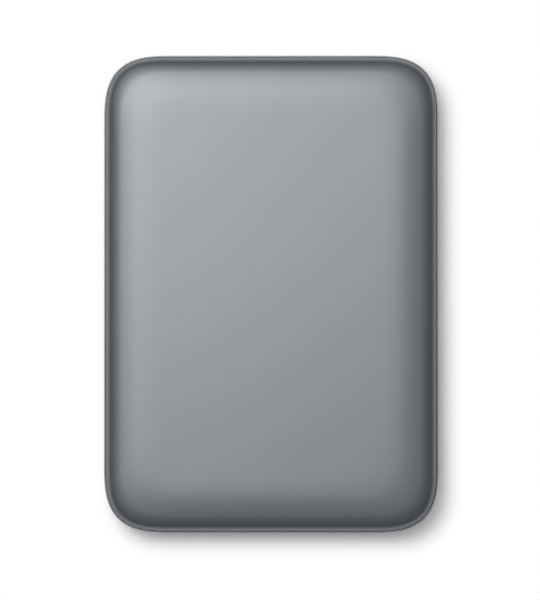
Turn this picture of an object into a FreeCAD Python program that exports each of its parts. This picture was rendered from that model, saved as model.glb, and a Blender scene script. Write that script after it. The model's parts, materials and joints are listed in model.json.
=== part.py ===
import FreeCAD, Part
import math
import operator
import os
from types import SimpleNamespace

import Sketcher
from FreeCAD import Placement, Rotation, Vector

# Driving sizes: millimetres, and degrees where the name says bearing, sweep or angle
SIZES = {
    # Case
    "wall": 1.5,
    "side_room": 3.575,
    "far_room": 3.0,
    "board_room": 7.85,
    "under_room": 1.1,
    "over_room": 2.9,
    "corner_reach": 13.8,
    "shoulder_radius": 22.0,
    "crown_corner": 0.3,
    "lid_edge_width": 8.6,
    "lid_band": 1.1,
    "lid_crown_drop": 0.6,
    "base_edge_width": 5.0,
    "base_edge_height": 4.2,
    "base_crown_drop": 0.5,
    "ledge_rise": 5.1,
    "lip_height": 0.8,
    "lip_thickness": 0.35,
    "lip_gap": 0.22,
    "tongue_depth": 1.0,
    "tongue_root": 0.8,
    "tongue_thickness": 0.9,
    "tongue_gap": 0.1,
    "rib_thickness": 1.6,
    "rib_root": 0.15,
    "foot_proud": 0.5,
    "foot_sink": 0.6,
    "foot_radius": 4.0,
    "foot_gap": 0.1,
    "foot_bevel": 0.3,
    "foot_inset_side": 12.0,
    "foot_inset_end": 12.1,
    # Bumpers round the drive
    "bumper_length": 24.0,
    "bumper_grip": 1.025,
    "bumper_lid_height": 0.9,
    "bumper_toe": 0.9,
    "bumper_tongue_room": 0.2,
    "bumper_setback": 26.1,
    # Bridge board and its parts
    "board_thickness": 1.0,
    "board_stand": 1.4,
    "board_half": 28.0,
    "board_gap": 0.4,
    "board_tail": 1.3,
    "board_corner": 0.8,
    "board_clear": 0.3,
    "bridge_chip_along": -8.0,
    "bridge_chip_side": 5.0,
    "flash_chip_along": 2.0,
    "flash_chip_length": 5.0,
    "flash_chip_width": 4.0,
    "crystal_along": 12.0,
    "crystal_length": 3.2,
    "crystal_width": 2.5,
    "led_length": 1.6,
    "led_width": 0.8,
    "capacitor_along": 23.0,
    "capacitor_pitch": 1.6,
    "capacitor_length": 1.6,
    "capacitor_width": 0.8,
    "usb_along": 15.0,
    "usb_width": 12.6,
    "usb_height": 3.0,
    "usb_depth": 6.4,
    "usb_skin": 0.3,
    "usb_recess": 0.7,
    "usb_corner": 0.9,
    "usb_key_along": 1.8,
    "usb_key_half": 0.8,
    "usb_key_foot": 0.4,
    "usb_key_drop": 0.7,
    "usb_tongue_thickness": 0.7,
    "usb_tongue_reach": 3.6,
    "usb_tongue_clear": 0.55,
    "usb_stop_depth": 1.2,
    "usb_contact_margin": 0.1,
    "usb_contact_width": 0.3,
    "port_gap": 0.4,
    "port_corner": 0.8,
    "light_along": -2.0,
    "light_radius": 0.6,
    "light_gap": 0.05,
    "light_rise": 7.0,
    # Drive connectors
    "plug_socket_gap": 1.5,
    "plug_wall": 1.1,
    "plug_height": 4.2,
    "plug_depth": 8.45,
    "contact_width": 0.8,
    "contact_thickness": 0.1,
    "blade_thickness": 1.0,
    "blade_rise": 2.1,
    "plug_mouth_width": 31.2,
    "plug_mouth_room": 0.5,
    "plug_mouth_height": 2.8,
    "plug_back": 2.5,
    "plug_setback": 0.4,
    "blade_split": 1.5,
    "blade_margin": 0.44,
    "blade_setback": 0.35,
    "receptacle_clear": 0.2,
    "receptacle_body": 3.8,
    "receptacle_nose": 5.7,
    "slot_clear": 0.1,
    "tail_length": 0.9,
    # Drive
    "drive_height": 7.0,
    "drive_corner": 3.0,
    "drive_lid_thickness": 0.6,
    "gasket_thickness": 0.2,
    "gasket_width": 0.9,
    "well_floor": 1.6,
    "well_room": 0.9,
    "well_side_wall": 1.525,
    "well_end_wall": 1.6,
    "chamber_floor": 2.5,
    "chamber_wall": 2.5,
    "chamber_corner": 3.0,
    "motor_bay_reach": 10.3,
    "motor_bay_wall": 1.7,
    "motor_bay_near": 3.5,
    "motor_bay_corner": 5.5,
    "motor_bay_far": 20.0,
    "partition": 1.5,
    "drive_board_sink": 0.5,
    "drive_board_thickness": 0.7,
    "drive_board_inset": 6.425,
    "drive_board_reach": 30.2,
    "drive_board_room": 0.8,
    "drive_board_gap": 0.4,
    "plug_room": 0.5,
    "plug_roof": 6.0,
    "chip_height": 0.7,
    "controller_side": 11.0,
    "controller_along": 14.0,
    "driver_side": 6.5,
    "driver_along": -2.0,
    "memory_length": 8.5,
    "memory_width": 6.0,
    "memory_along": -16.0,
    "chip_setback": 21.0,
    "board_screw_inset": 3.0,
    "board_screw_depth": 1.1,
    "board_screw_edge": 2.2,
    "board_screw_near": 4.0,
    "board_screw_along": 16.0,
    "board_boss_radius": 2.3,
    "mount_inset": 4.065,
    "mount_near": 14.0,
    "mount_far": 90.6,
    "mount_radius": 1.25,
    "mount_depth": 2.0,
    "lid_inset_gap": 0.3,
    "lid_screw_inset": 3.2,
    "lid_screw_depth": 1.6,
    "lid_dish_depth": 0.15,
    "lid_dish_inset": 7.0,
    "lid_dish_corner": 6.0,
    "screw_radius": 0.7,
    "screw_head_radius": 1.5,
    "screw_head_height": 0.2,
    "fit": 0.05,
    # Spindle
    "platter_radius": 32.5,
    "platter_bore": 10.0,
    "platter_rise": 3.83,
    "platter_thickness": 0.7,
    "flange_radius": 11.8,
    "flange_thickness": 0.7,
    "cup_thickness": 0.75,
    "rotor_thickness": 1.0,
    "sleeve_radius": 3.2,
    "shaft_radius": 1.5,
    "shaft_low": 0.9,
    "sleeve_low": 0.4,
    "sleeve_high": 4.0,
    "sleeve_cap": 0.4,
    "cup_low": 2.0,
    "cup_roof": 4.1,
    "cup_high": 4.5,
    "rotor_high": 3.6,
    "stator_seat": 2.3,
    "stator_thickness": 0.6,
    "stator_ring": 1.0,
    "stator_air": 0.3,
    "tooth_width": 1.1,
    "shoe_width": 3.4,
    "shoe_thickness": 0.7,
    "shoe_setback": 0.2,
    "winding_width": 2.0,
    "winding_height": 1.4,
    "winding_start": 4.7,
    "winding_length": 2.2,
    "clamp_edge": 0.37,
    "clamp_crown": 0.57,
    "clamp_dish": 4.0,
    "clamp_screw_radius": 1.2,
    "clamp_head_radius": 2.4,
    "clamp_head_height": 0.5,
    "clamp_screw_depth": 1.3,
    "drive_key": 0.9,
    "drive_key_depth": 0.3,
    "platter_bevel": 0.1,
    "clamp_radius": 11.5,
    "stator_teeth_angle": 40.0,
    # Actuator
    "pivot_room": 4.5,
    "pivot_side_room": 15.4,
    "park_room": 1.0,
    "head_short": 7.0,
    "pivot_radius": 2.0,
    "pivot_sleeve_radius": 4.0,
    "arm_hub_radius": 6.0,
    "arm_thickness": 0.6,
    "arm_tip_gap": 9.0,
    "suspension_thickness": 0.1,
    "slider_height": 0.3,
    "fly_height": 0.08,
    "coil_inner": 10.2,
    "coil_outer": 19.8,
    "coil_sweep": 38.0,
    "coil_bearing": 68.8,
    "coil_thickness": 0.6,
    "magnet_gap": 0.25,
    "magnet_thickness": 0.55,
    "yoke_thickness": 0.6,
    "yoke_bearing": 52.0,
    "yoke_sweep": 66.0,
    "yoke_inner": 9.5,
    "yoke_outer": 20.5,
    "yoke_room": 0.915,
    "yoke_post_distance": 22.0,
    "yoke_post_radius": 1.2,
    "yoke_ear_radius": 1.7,
    "yoke_post_angle": 10.0,
    "magnet_margin": 1.0,
    "magnet_margin_angle": 2.0,
    "coil_wire": 2.2,
    "coil_wire_angle": 9.0,
    "coil_fit": 0.1,
    "coil_fit_angle": 0.4,
    "fork_reach": 17.5,
    "fork_prong_angle": 4.8,
    "arm_root_half": 5.0,
    "arm_tip_half": 2.2,
    "arm_window": 1.5,
    "arm_window_reach": 15.0,
    "suspension_root": 14.5,
    "suspension_root_half": 2.0,
    "suspension_neck": 3.0,
    "suspension_neck_half": 0.9,
    "slider_length": 1.25,
    "slider_width": 1.0,
    "tab_half": 0.3,
    "tab_length": 2.2,
    "ramp_gap": 0.1,
    "ramp_start": 0.9,
    "ramp_before": 2.5,
    "ramp_after": 0.9,
    "ramp_post": 2.0,
    "ramp_post_rise": 2.8,
    "stop_radius": 0.6,
    "stop_distance": 14.8,
    "stop_rise": 2.4,
    "park_stop_bearing": 40.6,
    "inner_stop_bearing": 129.5,
    "filter_gap": 1.425,
    "filter_setback": 17.5,
    "filter_length": 8.0,
    "filter_width": 2.4,
    "filter_rise": 3.2,
    "bracket_gap": 16.525,
    "bracket_length": 12.0,
    "bracket_width": 6.0,
    "bracket_rise": 1.7,
    "ribbon_thickness": 0.12,
    "ribbon_low": 1.1,
    "ribbon_height": 1.1,
    "ribbon_gap": 0.3,
    "ribbon_bearing": 165.0,
}

# Contacts on each socket tongue, and on the two blades in the drive's plug
USB_CONTACTS = 5
SIGNAL_CONTACTS = 7
POWER_CONTACTS = 15

ARITHMETIC = {"+": operator.add, "-": operator.sub, "*": operator.mul, "/": operator.truediv}
UP = Vector(0, 0, 1)


class Size:
    """A length or an angle together with the sheet expression it comes from."""

    def __init__(self, value, text):
        self.value = value
        self.text = text

    def __add__(self, other):
        return combine(self, "+", other)

    def __radd__(self, other):
        return combine(other, "+", self)

    def __sub__(self, other):
        return combine(self, "-", other)

    def __rsub__(self, other):
        return combine(other, "-", self)

    def __mul__(self, other):
        return combine(self, "*", other)

    def __rmul__(self, other):
        return combine(other, "*", self)

    def __truediv__(self, other):
        return combine(self, "/", other)

    def __neg__(self):
        return combine(0, "-", self)


def as_size(number):
    if isinstance(number, Size):
        return number
    return Size(float(number), repr(float(number)))


def combine(left, sign, right):
    left = as_size(left)
    right = as_size(right)
    return Size(ARITHMETIC[sign](left.value, right.value), f"({left.text} {sign} {right.text})")


def cosine(angle):
    angle = as_size(angle)
    return Size(math.cos(math.radians(angle.value)), f"cos({angle.text} * 1 deg)")


def sine(angle):
    angle = as_size(angle)
    return Size(math.sin(math.radians(angle.value)), f"sin({angle.text} * 1 deg)")


def arccosine(ratio):
    ratio = as_size(ratio)
    return Size(math.degrees(math.acos(ratio.value)), f"(acos({ratio.text}) / 1 deg)")


def fill_sheet(document):
    """Put the driving sizes in a sheet and hand each back under its own name."""
    sheet = document.addObject("Spreadsheet::Sheet", "Sizes")
    for row, (name, value) in enumerate(SIZES.items(), start=1):
        sheet.set(f"A{row}", name)
        sheet.set(f"B{row}", str(value))
        sheet.setAlias(f"B{row}", name)
    document.recompute()
    return SimpleNamespace(**{name: Size(value, f"Sizes.{name}") for name, value in SIZES.items()})


doc = FreeCAD.newDocument("portable_drive")
s = fill_sheet(doc)
subparts = []


# Document helpers
def bind(made, **sizes):
    for name, size in sizes.items():
        made.setExpression(name, as_size(size).text)
    return made


def place(made, x=0, y=0, z=0, angle=0):
    """Move an object to a point and turn it about the upright axis."""
    spot = [as_size(size) for size in (x, y, z)]
    turn = as_size(angle)
    made.Placement = Placement(Vector(*[size.value for size in spot]), Rotation(UP, turn.value))
    for axis, size in zip("xyz", spot):
        made.setExpression(f"Placement.Base.{axis}", size.text)
    if turn.text != "0.0":
        made.setExpression("Placement.Rotation.Angle", f"{turn.text} * 1 deg")
    return made


def subpart(made, label):
    made.Label = label
    subparts.append(made)
    return made


def box(x, y, z):
    """A block between the low and high size on each axis."""
    made = doc.addObject("Part::Box", "block")
    bind(made, Length=x[1] - x[0], Width=y[1] - y[0], Height=z[1] - z[0])
    return place(made, x[0], y[0], z[0])


def around(middle, width):
    return (middle - width / 2, middle + width / 2)


def rod(radius, low, high, x=0, y=0):
    made = doc.addObject("Part::Cylinder", "rod")
    bind(made, Radius=radius, Height=high - low)
    return place(made, x, y, low)


def wedge(radius, low, high, start, sweep):
    """A slice of a cylinder, from one bearing round through a sweep."""
    made = doc.addObject("Part::Cylinder", "slice")
    bind(made, Radius=radius, Height=high - low, Angle=sweep)
    return place(made, 0, 0, low, start)


def cut(base, *tools):
    for tool in tools:
        made = doc.addObject("Part::Cut", "cut")
        made.Base = base
        made.Tool = tool
        base = made
    return base


def fuse(*pieces):
    made = doc.addObject("Part::MultiFuse", "joined")
    made.Shapes = list(pieces)
    return made


def group(pieces):
    made = doc.addObject("Part::Compound", "group")
    made.Links = list(pieces)
    return made


def ring(inner, outer, low, high, x=0, y=0):
    return cut(rod(outer, low, high, x, y), rod(inner, low, high, x, y))


def sector(inner, outer, low, high, start, sweep):
    return cut(wedge(outer, low, high, start, sweep), rod(inner, low, high))


# Sketch helpers
def new_body(name):
    return doc.addObject("PartDesign::Body", name)


def sketch_on(body, role, offset):
    """A sketch on one of the body's own planes, moved along that plane's normal."""
    made = body.newObject("Sketcher::SketchObject", "outline")
    plane = [feature for feature in body.Origin.OriginFeatures if feature.Role == role][0]
    made.AttachmentSupport = [(plane, "")]
    made.MapMode = "FlatFace"
    made.setExpression("AttachmentOffset.Base.z", as_size(offset).text)
    return made


def level(body, height):
    return sketch_on(body, "XY_Plane", height)


def across(body, along=0):
    """A sketch that faces the port end: x to the side, y upward."""
    return sketch_on(body, "XZ_Plane", -as_size(along))


def pin(sketch, edge, end, x, y):
    """Hold one end of a sketch edge at two sizes from the sketch's origin."""
    for kind, size, axis in (("DistanceX", as_size(x), -2), ("DistanceY", as_size(y), -1)):
        if size.text == "0.0":
            sketch.addConstraint(Sketcher.Constraint("PointOnObject", edge, end, axis))
        else:
            index = sketch.addConstraint(Sketcher.Constraint(kind, -1, 1, edge, end, size.value))
            sketch.setExpression(f"Constraints[{index}]", size.text)


def hold_radius(sketch, edge, radius):
    index = sketch.addConstraint(Sketcher.Constraint("Radius", edge, radius.value))
    sketch.setExpression(f"Constraints[{index}]", radius.text)


def point(x, y):
    return Vector(as_size(x).value, as_size(y).value, 0)


def line(sketch, start, end):
    edge = sketch.addGeometry(Part.LineSegment(point(*start), point(*end)))
    pin(sketch, edge, 1, *start)
    pin(sketch, edge, 2, *end)
    return edge


def arc(sketch, centre, radius, start, end):
    circle = Part.Circle(centre, UP, radius)
    return sketch.addGeometry(Part.ArcOfCircle(circle, math.radians(start), math.radians(end)))


def polygon(sketch, corners):
    count = len(corners)
    edges = []
    for index, corner in enumerate(corners):
        after = corners[(index + 1) % count]
        edges.append(sketch.addGeometry(Part.LineSegment(point(*corner), point(*after))))
    for index, corner in enumerate(corners):
        sketch.addConstraint(Sketcher.Constraint("Coincident", edges[index - 1], 2, edges[index], 1))
        pin(sketch, edges[index], 1, *corner)
    return sketch


def rectangle(sketch, x, y):
    return polygon(sketch, [(x[0], y[0]), (x[1], y[0]), (x[1], y[1]), (x[0], y[1])])


def circle(sketch, radius, x=0, y=0):
    radius = as_size(radius)
    edge = sketch.addGeometry(Part.Circle(point(x, y), UP, radius.value))
    hold_radius(sketch, edge, radius)
    pin(sketch, edge, 3, x, y)
    return sketch


def rounded(sketch, x, y, radius):
    """A rectangle between two sizes on each axis, with round corners."""
    radius = as_size(radius)
    low_x, high_x = as_size(x[0]), as_size(x[1])
    low_y, high_y = as_size(y[0]), as_size(y[1])
    sides = [
        line(sketch, (high_x, low_y + radius), (high_x, high_y - radius)),
        line(sketch, (high_x - radius, high_y), (low_x + radius, high_y)),
        line(sketch, (low_x, high_y - radius), (low_x, low_y + radius)),
        line(sketch, (low_x + radius, low_y), (high_x - radius, low_y)),
    ]
    centres = [
        point(high_x - radius, high_y - radius),
        point(low_x + radius, high_y - radius),
        point(low_x + radius, low_y + radius),
        point(high_x - radius, low_y + radius),
    ]
    for index, centre in enumerate(centres):
        edge = arc(sketch, centre, radius.value, 90 * index, 90 * index + 90)
        sketch.addConstraint(Sketcher.Constraint("Tangent", sides[index], 2, edge, 1))
        sketch.addConstraint(Sketcher.Constraint("Coincident", edge, 2, sides[(index + 1) % 4], 1))
    return sketch


def feature(body, kind, sketch, length, reverse=False):
    made = body.newObject(f"PartDesign::{kind}", kind.lower())
    made.Profile = sketch
    made.Reversed = reverse
    return bind(made, Length=length)


def pad(body, sketch, length):
    return feature(body, "Pad", sketch, length)


def pocket_up(body, sketch, length):
    return feature(body, "Pocket", sketch, length, reverse=True)


def plate(name, low, high, corners):
    """A flat piece cut to an outline of straight sides."""
    body = new_body(name)
    pad(body, polygon(level(body, low), corners), high - low)
    return body


def turned(name, corners):
    """A piece turned about the upright axis from a half section."""
    body = new_body(name)
    sketch = polygon(across(body), corners)
    made = body.newObject("PartDesign::Revolution", "turned")
    made.Profile = sketch
    made.ReferenceAxis = (sketch, ["V_Axis"])
    made.Angle = 360
    return body


# Drive footprint: the platter's well sets the width, and the actuator beside it sets the length
well_radius = s.platter_radius + s.well_room
drive_side = well_radius + s.well_side_wall
spindle_setback = well_radius + s.well_end_wall
pivot_x = drive_side - s.pivot_side_room
pivot_distance = s.platter_radius + s.arm_hub_radius + s.pivot_room
pivot_bearing = arccosine(pivot_x / pivot_distance)
pivot_rise = pivot_distance * sine(pivot_bearing)
yoke_reach = s.yoke_post_distance * sine(s.yoke_bearing + s.yoke_sweep - s.yoke_post_angle)
pivot_setback = yoke_reach + s.yoke_ear_radius + s.yoke_room + s.motor_bay_near
drive_length = spindle_setback + pivot_rise + pivot_setback

# Levels and edges of the case
half_width = drive_side + s.side_room + s.wall
half_length = (drive_length + s.far_room + s.board_room) / 2 + s.wall
floor = s.foot_proud + s.wall
drive_low = floor + s.under_room
drive_high = drive_low + s.drive_height
ceiling = drive_high + s.over_room
case_top = ceiling + s.wall
ledge = drive_low + s.ledge_rise
seam = ledge + s.lip_height
lid_inset = s.lip_thickness + s.lip_gap
lid_edge_height = case_top - ledge - s.lid_band
base_band = seam - s.foot_proud - s.base_edge_height
core_radius = lid_inset + s.lid_edge_width + s.crown_corner
drive_far = s.wall + s.far_room - half_length
drive_near = drive_far + drive_length


def case_outline(sketch, inset, split=False):
    """The case seen from above, inset all round; each corner is three tangent arcs."""
    wide = half_width - inset
    long = half_length - inset
    reach = s.corner_reach - inset
    shoulder = s.shoulder_radius - inset
    core = core_radius - inset
    bow = shoulder.value - core.value
    lean = math.degrees(math.acos((shoulder.value - reach.value) / bow / math.sqrt(2))) - 45
    starts = [(wide, long - reach), (reach - wide, long), (-wide, reach - long), (wide - reach, -long)]
    ends = [(wide - reach, long), (-wide, long - reach), (reach - wide, -long), (wide, reach - long)]
    if split:
        sides = [line(sketch, (wide, as_size(0)), starts[0])]
    else:
        sides = [line(sketch, ends[3], starts[0])]
    for index in range(4):
        turn = Rotation(UP, 90 * index)
        first = point(*starts[index]) - turn.multVec(Vector(shoulder.value, 0, 0))
        middle = first + turn.multVec(Rotation(UP, lean).multVec(Vector(bow, 0, 0)))
        last = point(*ends[index]) - turn.multVec(Vector(0, shoulder.value, 0))
        quarter = 90 * index
        arcs = [
            arc(sketch, first, shoulder.value, quarter, quarter + lean),
            arc(sketch, middle, core.value, quarter + lean, quarter + 90 - lean),
            arc(sketch, last, shoulder.value, quarter + 90 - lean, quarter + 90),
        ]
        if index < 3:
            sides.append(line(sketch, ends[index], starts[index + 1]))
        elif split:
            sides.append(line(sketch, ends[3], (wide, as_size(0))))
        after = sides[(index + 1) % len(sides)]
        sketch.addConstraint(Sketcher.Constraint("Tangent", sides[index], 2, arcs[0], 1))
        sketch.addConstraint(Sketcher.Constraint("Tangent", arcs[0], 2, arcs[1], 1))
        sketch.addConstraint(Sketcher.Constraint("Tangent", arcs[1], 2, arcs[2], 1))
        sketch.addConstraint(Sketcher.Constraint("Tangent", arcs[2], 2, after, 1))
        for edge, radius in zip(arcs, (shoulder, core, shoulder)):
            hold_radius(sketch, edge, radius)
    return sketch


def soft_section(sketch, inset, start, band, width, height, drop, up):
    """Half section of a soft edge: a straight band, a nose arc and a flatter crown arc."""
    wide = half_width - inset
    nose = height - drop
    crown = ((width.value - nose.value) ** 2 + height.value**2 - nose.value**2) / (2 * drop.value)
    tilt = math.degrees(math.atan2(crown - height.value, width.value - nose.value))
    turn = start + up * band
    top = turn + up * height
    line(sketch, (wide - width, start), (wide, start))
    band_line = line(sketch, (wide, start), (wide, turn))
    nose_centre = point(wide - nose, turn)
    crown_centre = point(wide - width, top) - Vector(0, up * crown, 0)
    if up > 0:
        nose_arc = arc(sketch, nose_centre, nose.value, 0, tilt)
        crown_arc = arc(sketch, crown_centre, crown, tilt, 90)
        near, far = 1, 2
    else:
        nose_arc = arc(sketch, nose_centre, nose.value, -tilt, 0)
        crown_arc = arc(sketch, crown_centre, crown, -90, -tilt)
        near, far = 2, 1
    back_line = line(sketch, (wide - width, top), (wide - width, start))
    sketch.addConstraint(Sketcher.Constraint("Tangent", band_line, 2, nose_arc, near))
    sketch.addConstraint(Sketcher.Constraint("Tangent", nose_arc, far, crown_arc, near))
    sketch.addConstraint(Sketcher.Constraint("Perpendicular", crown_arc, far, back_line, 1))
    hold_radius(sketch, nose_arc, nose)


def pillow(body, kind, inset, start, band, width, height, drop, up):
    """Sweep a soft edge round the case outline and fill the middle; or cut the same shape away."""
    path = case_outline(level(body, start), inset, split=True)
    section = across(body)
    soft_section(section, inset, start, band, width, height, drop, up)
    doc.recompute()
    edge = body.newObject(f"PartDesign::{'Subtractive' if kind == 'Pocket' else 'Additive'}Pipe", "soft_edge")
    edge.Profile = section
    edge.Spine = (path, [f"Edge{index + 1}" for index in range(path.GeometryCount)])
    low = start if up > 0 else start - band - height
    middle = case_outline(level(body, low), inset + width)
    feature(body, kind, middle, band + height, reverse=kind == "Pocket")
    doc.recompute()


# Top cover: soft-edged shell, locating tongue cleared at the port and the light, hold-down ribs
board_low = floor + s.board_stand
board_high = board_low + s.board_thickness
usb_low = board_high
usb_middle = usb_low + s.usb_height / 2
port_x = around(s.usb_along, s.usb_width + 2 * s.port_gap)
port_z = around(usb_middle, s.usb_height + 2 * s.port_gap)
inner_end = half_length - lid_inset - s.wall
tongue_inset = s.wall + s.tongue_gap
tongue_inner = tongue_inset + s.tongue_thickness
bumper_low = drive_low - s.under_room
bumper_high = drive_high + s.bumper_lid_height
bumper_spread = half_length - s.bumper_setback
bumper_outer = half_width - tongue_inner - s.bumper_tongue_room
rib_root = ceiling + s.rib_root


def open_port(body):
    """Cut the socket opening through the port end."""
    start = inner_end - s.tongue_thickness - s.board_gap
    sketch = rounded(across(body, start), port_x, port_z, s.port_corner)
    feature(body, "Pocket", sketch, half_length - start + s.wall)


def open_light(body):
    """Drill the light guide's hole through the port end."""
    sketch = across(body, inner_end - s.tongue_thickness)
    circle(sketch, s.light_radius + s.light_gap, s.light_along, s.light_rise)
    feature(body, "Pocket", sketch, s.wall * 2 + s.tongue_thickness)


top_cover = new_body("top_cover")
pillow(top_cover, "Pad", lid_inset, ledge, s.lid_band, s.lid_edge_width, lid_edge_height, s.lid_crown_drop, 1)
pillow(top_cover, "Pocket", lid_inset + s.wall, ledge, s.lid_band, s.lid_edge_width - s.wall,
       lid_edge_height - s.wall, s.lid_crown_drop, 1)
tongue = level(top_cover, ledge - s.tongue_depth)
case_outline(tongue, tongue_inset)
case_outline(tongue, tongue_inner)
pad(top_cover, tongue, s.tongue_depth + s.tongue_root)
ribs = level(top_cover, bumper_high)
for side in (-1, 1):
    for end in (-1, 1):
        for step in (-1, 1):
            rib_y = around(end * bumper_spread + step * s.bumper_length / 3, s.rib_thickness)
            rib_x = (side * (drive_side - s.bumper_grip * 2), side * drive_side)
            rectangle(ribs, rib_x, rib_y)
pad(top_cover, ribs, rib_root - bumper_high)
open_port(top_cover)
open_light(top_cover)
subpart(top_cover, "top_cover")

# Bottom cover: soft-edged tray with a thin lip round the top cover, board ribs, foot recesses and openings
bottom_cover = new_body("bottom_cover")
pillow(bottom_cover, "Pad", as_size(0), seam, base_band, s.base_edge_width, s.base_edge_height,
       s.base_crown_drop, -1)
pillow(bottom_cover, "Pocket", s.wall, seam, base_band, s.base_edge_width - s.wall,
       s.base_edge_height - s.wall, s.base_crown_drop, -1)
pocket_up(bottom_cover, case_outline(level(bottom_cover, ledge), s.lip_thickness), s.lip_height)
board_ribs = level(bottom_cover, floor - s.wall / 2)
rib_y = (drive_near + s.board_gap, drive_near + s.board_gap + s.board_tail * 3)
for side in (-1, 1):
    rib_x = around(side * (s.board_half - s.rib_thickness * 2), s.rib_thickness)
    rectangle(board_ribs, rib_x, rib_y)
pad(bottom_cover, board_ribs, board_low - floor + s.wall / 2)
foot_x = half_width - s.foot_inset_side
foot_y = half_length - s.foot_inset_end
recesses = level(bottom_cover, s.foot_proud)
for side in (-1, 1):
    for end in (-1, 1):
        circle(recesses, s.foot_radius + s.foot_gap, side * foot_x, end * foot_y)
pocket_up(bottom_cover, recesses, s.foot_sink)
open_port(bottom_cover)
open_light(bottom_cover)
subpart(bottom_cover, "bottom_cover")

# Rubber feet, pressed into the recesses
for number, (side, end) in enumerate([(-1, -1), (1, -1), (-1, 1), (1, 1)], start=1):
    foot_high = s.foot_proud + s.foot_sink
    foot = turned(f"foot_{number}", [
        (0, 0),
        (s.foot_radius - s.foot_bevel, 0),
        (s.foot_radius, s.foot_bevel),
        (s.foot_radius, foot_high),
        (0, foot_high),
    ])
    subpart(place(foot, side * foot_x, end * foot_y), f"foot_{number}")

# Rubber bumpers that hold the drive by its long edges
for number, (side, end) in enumerate([(-1, -1), (1, -1), (-1, 1), (1, 1)], start=1):
    grip = drive_side - s.bumper_grip
    toe = grip + s.bumper_toe
    section = [
        (grip, bumper_low),
        (toe, bumper_low),
        (bumper_outer, ledge - s.tongue_depth),
        (bumper_outer, ledge + s.lid_band),
        (drive_side + s.bumper_grip / 2, bumper_high),
        (grip, bumper_high),
        (grip, drive_high),
        (drive_side, drive_high),
        (drive_side, drive_low),
        (grip, drive_low),
    ]
    bumper = new_body(f"bumper_{number}")
    sketch = across(bumper, end * bumper_spread + s.bumper_length / 2)
    polygon(sketch, [(side * x, z) for x, z in section][::side])
    pad(bumper, sketch, s.bumper_length)
    subpart(bumper, f"bumper_{number}")

# Light pipe: a leg over the indicator and a round arm out through the port end
light_y = drive_near + s.board_gap + s.board_room / 2 + s.light_radius * 2
pipe_leg = box(around(s.light_along, s.light_radius * 2), around(light_y, s.light_radius * 2),
               (board_high + s.chip_height + s.fit * 2, s.light_rise + s.light_radius))
pipe_arm = new_body("pipe_arm")
pipe_end = circle(across(pipe_arm, half_length), s.light_radius, s.light_along, s.light_rise)
pad(pipe_arm, pipe_end, half_length - light_y)
subpart(fuse(pipe_leg, pipe_arm), "light_pipe")

# Bridge board with its chips and indicator
board_front = drive_near + s.board_gap
board_back = half_length - tongue_inner - s.board_clear
board_middle = (board_front + board_back) / 2
bridge_board = new_body("bridge_board")
board_shape = level(bridge_board, board_low)
rounded(board_shape, (-s.board_half, s.board_half), (board_front, board_back), s.board_corner)
pad(bridge_board, board_shape, s.board_thickness)
subpart(bridge_board, "bridge_board")
on_board = (board_high, board_high + s.chip_height)
under_board = (board_low - s.chip_height, board_low)
subpart(box(around(s.light_along, s.led_length), around(light_y, s.led_width), on_board), "activity_led")
subpart(box(around(s.bridge_chip_along, s.bridge_chip_side), around(board_middle, s.bridge_chip_side),
            under_board), "bridge_chip")
subpart(box(around(s.flash_chip_along, s.flash_chip_length), around(board_middle, s.flash_chip_width),
            under_board), "flash_chip")
subpart(box(around(s.crystal_along, s.crystal_length), around(board_middle, s.crystal_width),
            under_board), "crystal")
capacitors = []
for step in range(3):
    capacitor_y = board_middle + (step - 1) * s.capacitor_pitch
    capacitors.append(box(around(s.capacitor_along, s.capacitor_length),
                          around(capacitor_y, s.capacitor_width), on_board))
subpart(group(capacitors), "board_capacitors")

# Socket: folded steel shell with a keyed two-part mouth, tongues and contacts
usb_end = half_length - s.usb_recess
usb_start = usb_end - s.usb_depth
usb_high = usb_low + s.usb_height
usb_key = s.usb_along + s.usb_key_along


def usb_outline(inset):
    half = s.usb_width / 2 - inset
    low = usb_low + inset
    high = usb_high - inset
    dip = high - s.usb_key_drop
    return [
        (s.usb_along - half, low),
        (s.usb_along + half, low),
        (s.usb_along + half, high - s.usb_corner),
        (s.usb_along + half - s.usb_corner, high),
        (usb_key + s.usb_key_half + inset, high),
        (usb_key + s.usb_key_foot + inset, dip),
        (usb_key - s.usb_key_foot - inset, dip),
        (usb_key - s.usb_key_half - inset, high),
        (s.usb_along - half + s.usb_corner, high),
        (s.usb_along - half, high - s.usb_corner),
    ]


usb_shell = new_body("usb_shell")
mouth = across(usb_shell, usb_end)
polygon(mouth, usb_outline(0))
polygon(mouth, usb_outline(s.usb_skin))
pad(usb_shell, mouth, s.usb_depth)
subpart(usb_shell, "usb_shell")

usb_left = s.usb_along - s.usb_width / 2 + s.usb_skin
usb_right = s.usb_along + s.usb_width / 2 - s.usb_skin
tongue_z = around(usb_middle - s.usb_tongue_thickness / 2, s.usb_tongue_thickness)
tongue_y = (usb_start, usb_start + s.usb_stop_depth + s.usb_tongue_reach)
tongue_wide = (usb_left + s.usb_tongue_clear, usb_key - s.usb_key_half)
tongue_narrow = (usb_key + s.usb_key_half, usb_right - s.usb_tongue_clear)
usb_back = new_body("usb_back")
back_shape = polygon(across(usb_back, usb_start + s.usb_stop_depth), usb_outline(s.usb_skin))
pad(usb_back, back_shape, s.usb_stop_depth)
usb_blades = [box(span, tongue_y, tongue_z) for span in (tongue_wide, tongue_narrow)]
subpart(fuse(usb_back, *usb_blades), "usb_tongue")
usb_contacts = []
contact_y = (usb_start + s.usb_stop_depth, tongue_y[1] - s.fit)
contact_z = (tongue_z[1], tongue_z[1] + s.contact_thickness)
contact_room = tongue_narrow[1] - tongue_narrow[0] - s.usb_contact_width - 2 * s.usb_contact_margin
usb_pitch = contact_room / (USB_CONTACTS - 1)
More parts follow.
